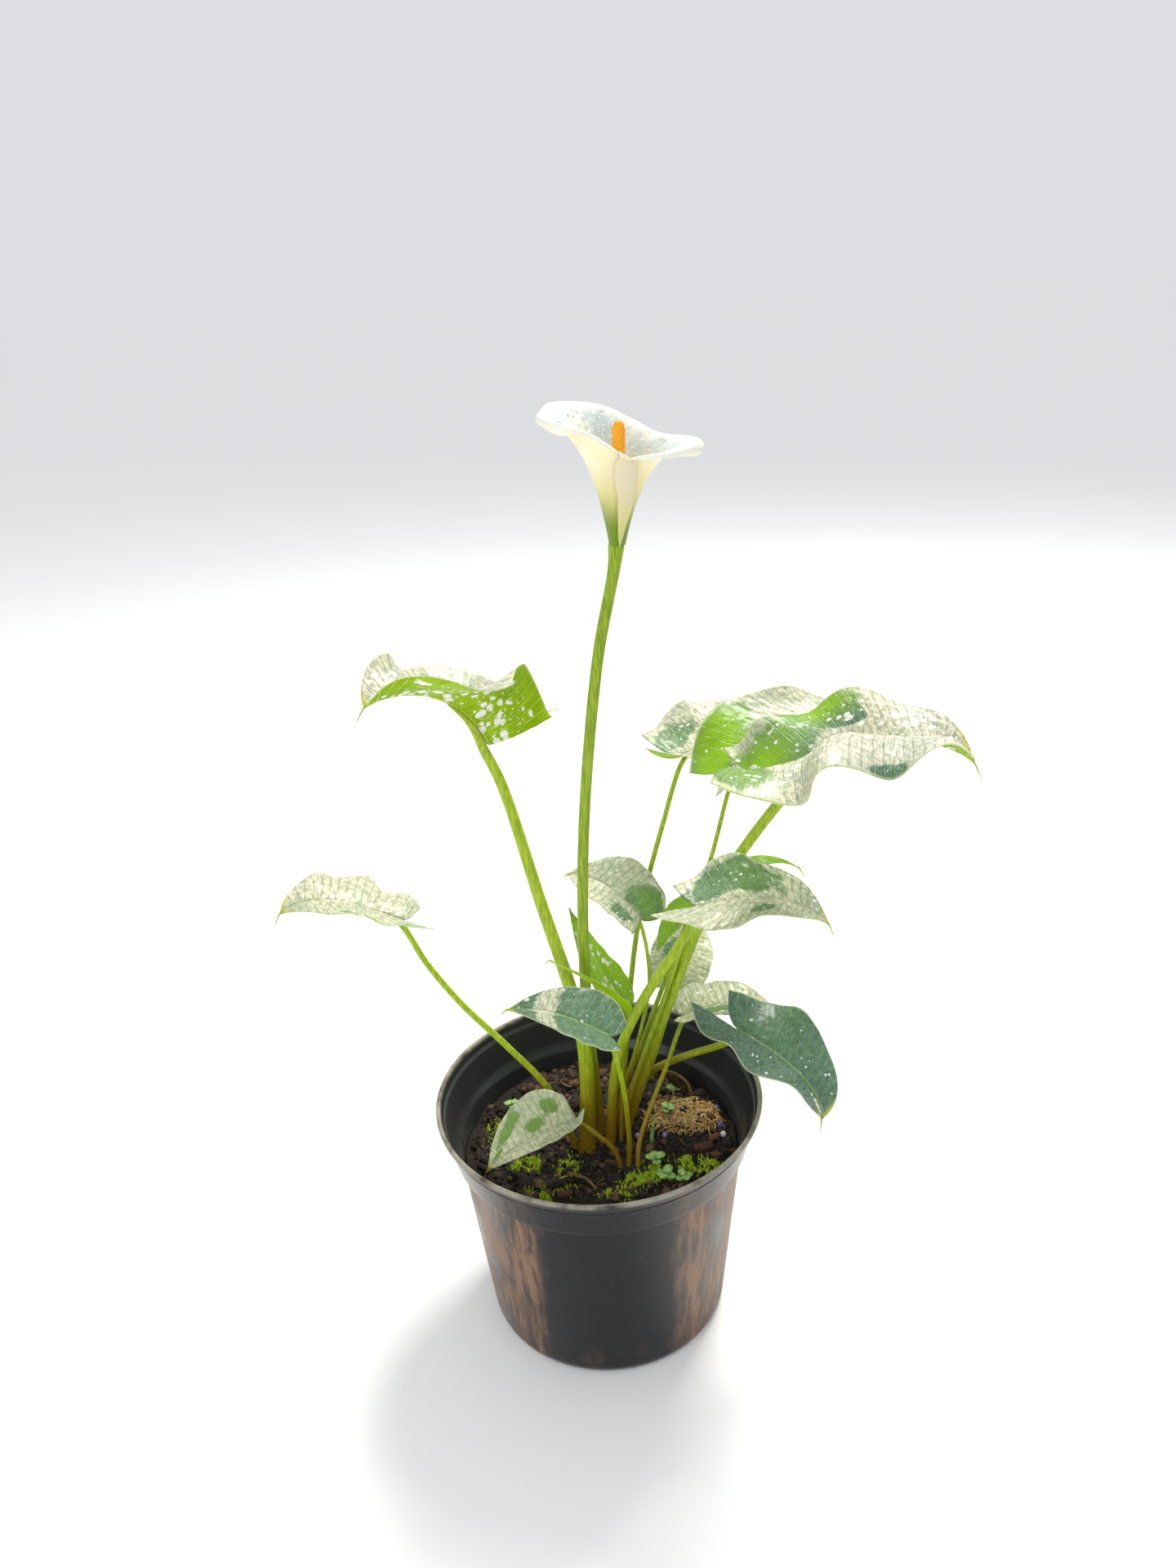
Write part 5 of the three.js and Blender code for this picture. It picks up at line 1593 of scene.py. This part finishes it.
dead_leaves = [
    dict(name="dead_leaf_left", at=(-19, -62), size=(16, 6), heading=15, lift=0.1),
    dict(name="dead_leaf_right", at=(6, -66), size=(13, 5), heading=170, lift=2.4),
]
withered = Finish("withered_leaf", 0.8)
rot = withered.clouds(withered.place(), 0.5, 5, 0.7)
withered.wear(
    Base_Color=withered.blend(rot.step(0.3, 0.68), shade(74, 52, 34), shade(158, 124, 84)),
    Normal=withered.bump(withered.clouds(withered.place((0.5, 2, 1)), 0.9, 4), 0.7),
)
for scrap in dead_leaves:
    x, y = scrap["at"]
    heading = radians(scrap["heading"])

    def scrap_point(s, t):
        length, width = scrap["size"]
        along = (s - 0.5) * length
        across = t * width * max(sin(pi * clamp(s, 0.04, 0.96)) ** 0.7, 0.15) * 0.5
        a = x + along * cos(heading) - across * sin(heading)
        b = y + along * sin(heading) + across * cos(heading)
        crumple = 0.5 * noise.noise(Vector((a, b, 1)) / 2.2) * (1 - t * t)
        height = soil_height(a, b) + scrap["lift"] + 2.2 * t * t + 1.5 * (2 * s - 1) ** 2 + crumple
        return Vector((a, b, height + 0.25 * noise.noise(Vector((s * 9, t * 4, 2)))))

    scrap_shape = bmesh.new()
    scrap_shape.verts.layers.float_vector.new("sheet_place")
    _, scrap_faces = add_sheet(scrap_shape, 60, 30, scrap_point)
    thicken(scrap_shape, scrap_faces, 0.5)
    bmesh.ops.recalc_face_normals(scrap_shape, faces=scrap_shape.faces)
    words = scrap["name"].split("_")
    add_piece(f"withered_scrap_{words[-1]}", scrap_shape, [withered], "dead_leaf", scrap["name"])


def buried(route):
    """A stick's route, begun 5 millimetres down in the soil."""
    x, y = route[0][:2]
    return [(x, y, soil_height(x, y) - 5), *route]


def wrinkled(radii):
    """The radius of a dried stick, from its foot to its end, with furrows and dents."""

    def radius_at(s, turned):
        dents = 0.12 * noise.noise(Vector((s * 16, turned, 0)))
        return lerp(*radii, s) * (1 + 0.1 * cos(3 * turned + 11 * s) + dents)

    return radius_at


shoot_route = [(30, -2, 109), (31, -1, 116), (32, 1, 124)]
dead_stalk_route = [(57, 33, 112), (55, 33, 121), (47, 32, 130), (38, 31, 134)]
twig_route = [(-20, -30, 111), (-10, -36, 112), (-4, -44, 111)]

shoot_shape = bmesh.new()
add_stalk(shoot_shape, curve_through(buried(shoot_route), 40), lambda s, turned: lerp(1.7, 0.5, s), 20)
add_piece("green_shoot", shoot_shape, [seed_leaf], "stalk", "new_shoot")

withered_shape = bmesh.new()
add_stalk(withered_shape, curve_through(buried(dead_stalk_route), 60), wrinkled((1.2, 0.7)), 18)
add_piece("withered_stalk", withered_shape, [withered], "dead_leaf", "dead_stalk")

twig_shape = bmesh.new()
add_stalk(twig_shape, curve_through(twig_route, 50), wrinkled((0.9, 0.7)), 16)
add_piece("bark_twig", twig_shape, [withered], "bark", "twig")
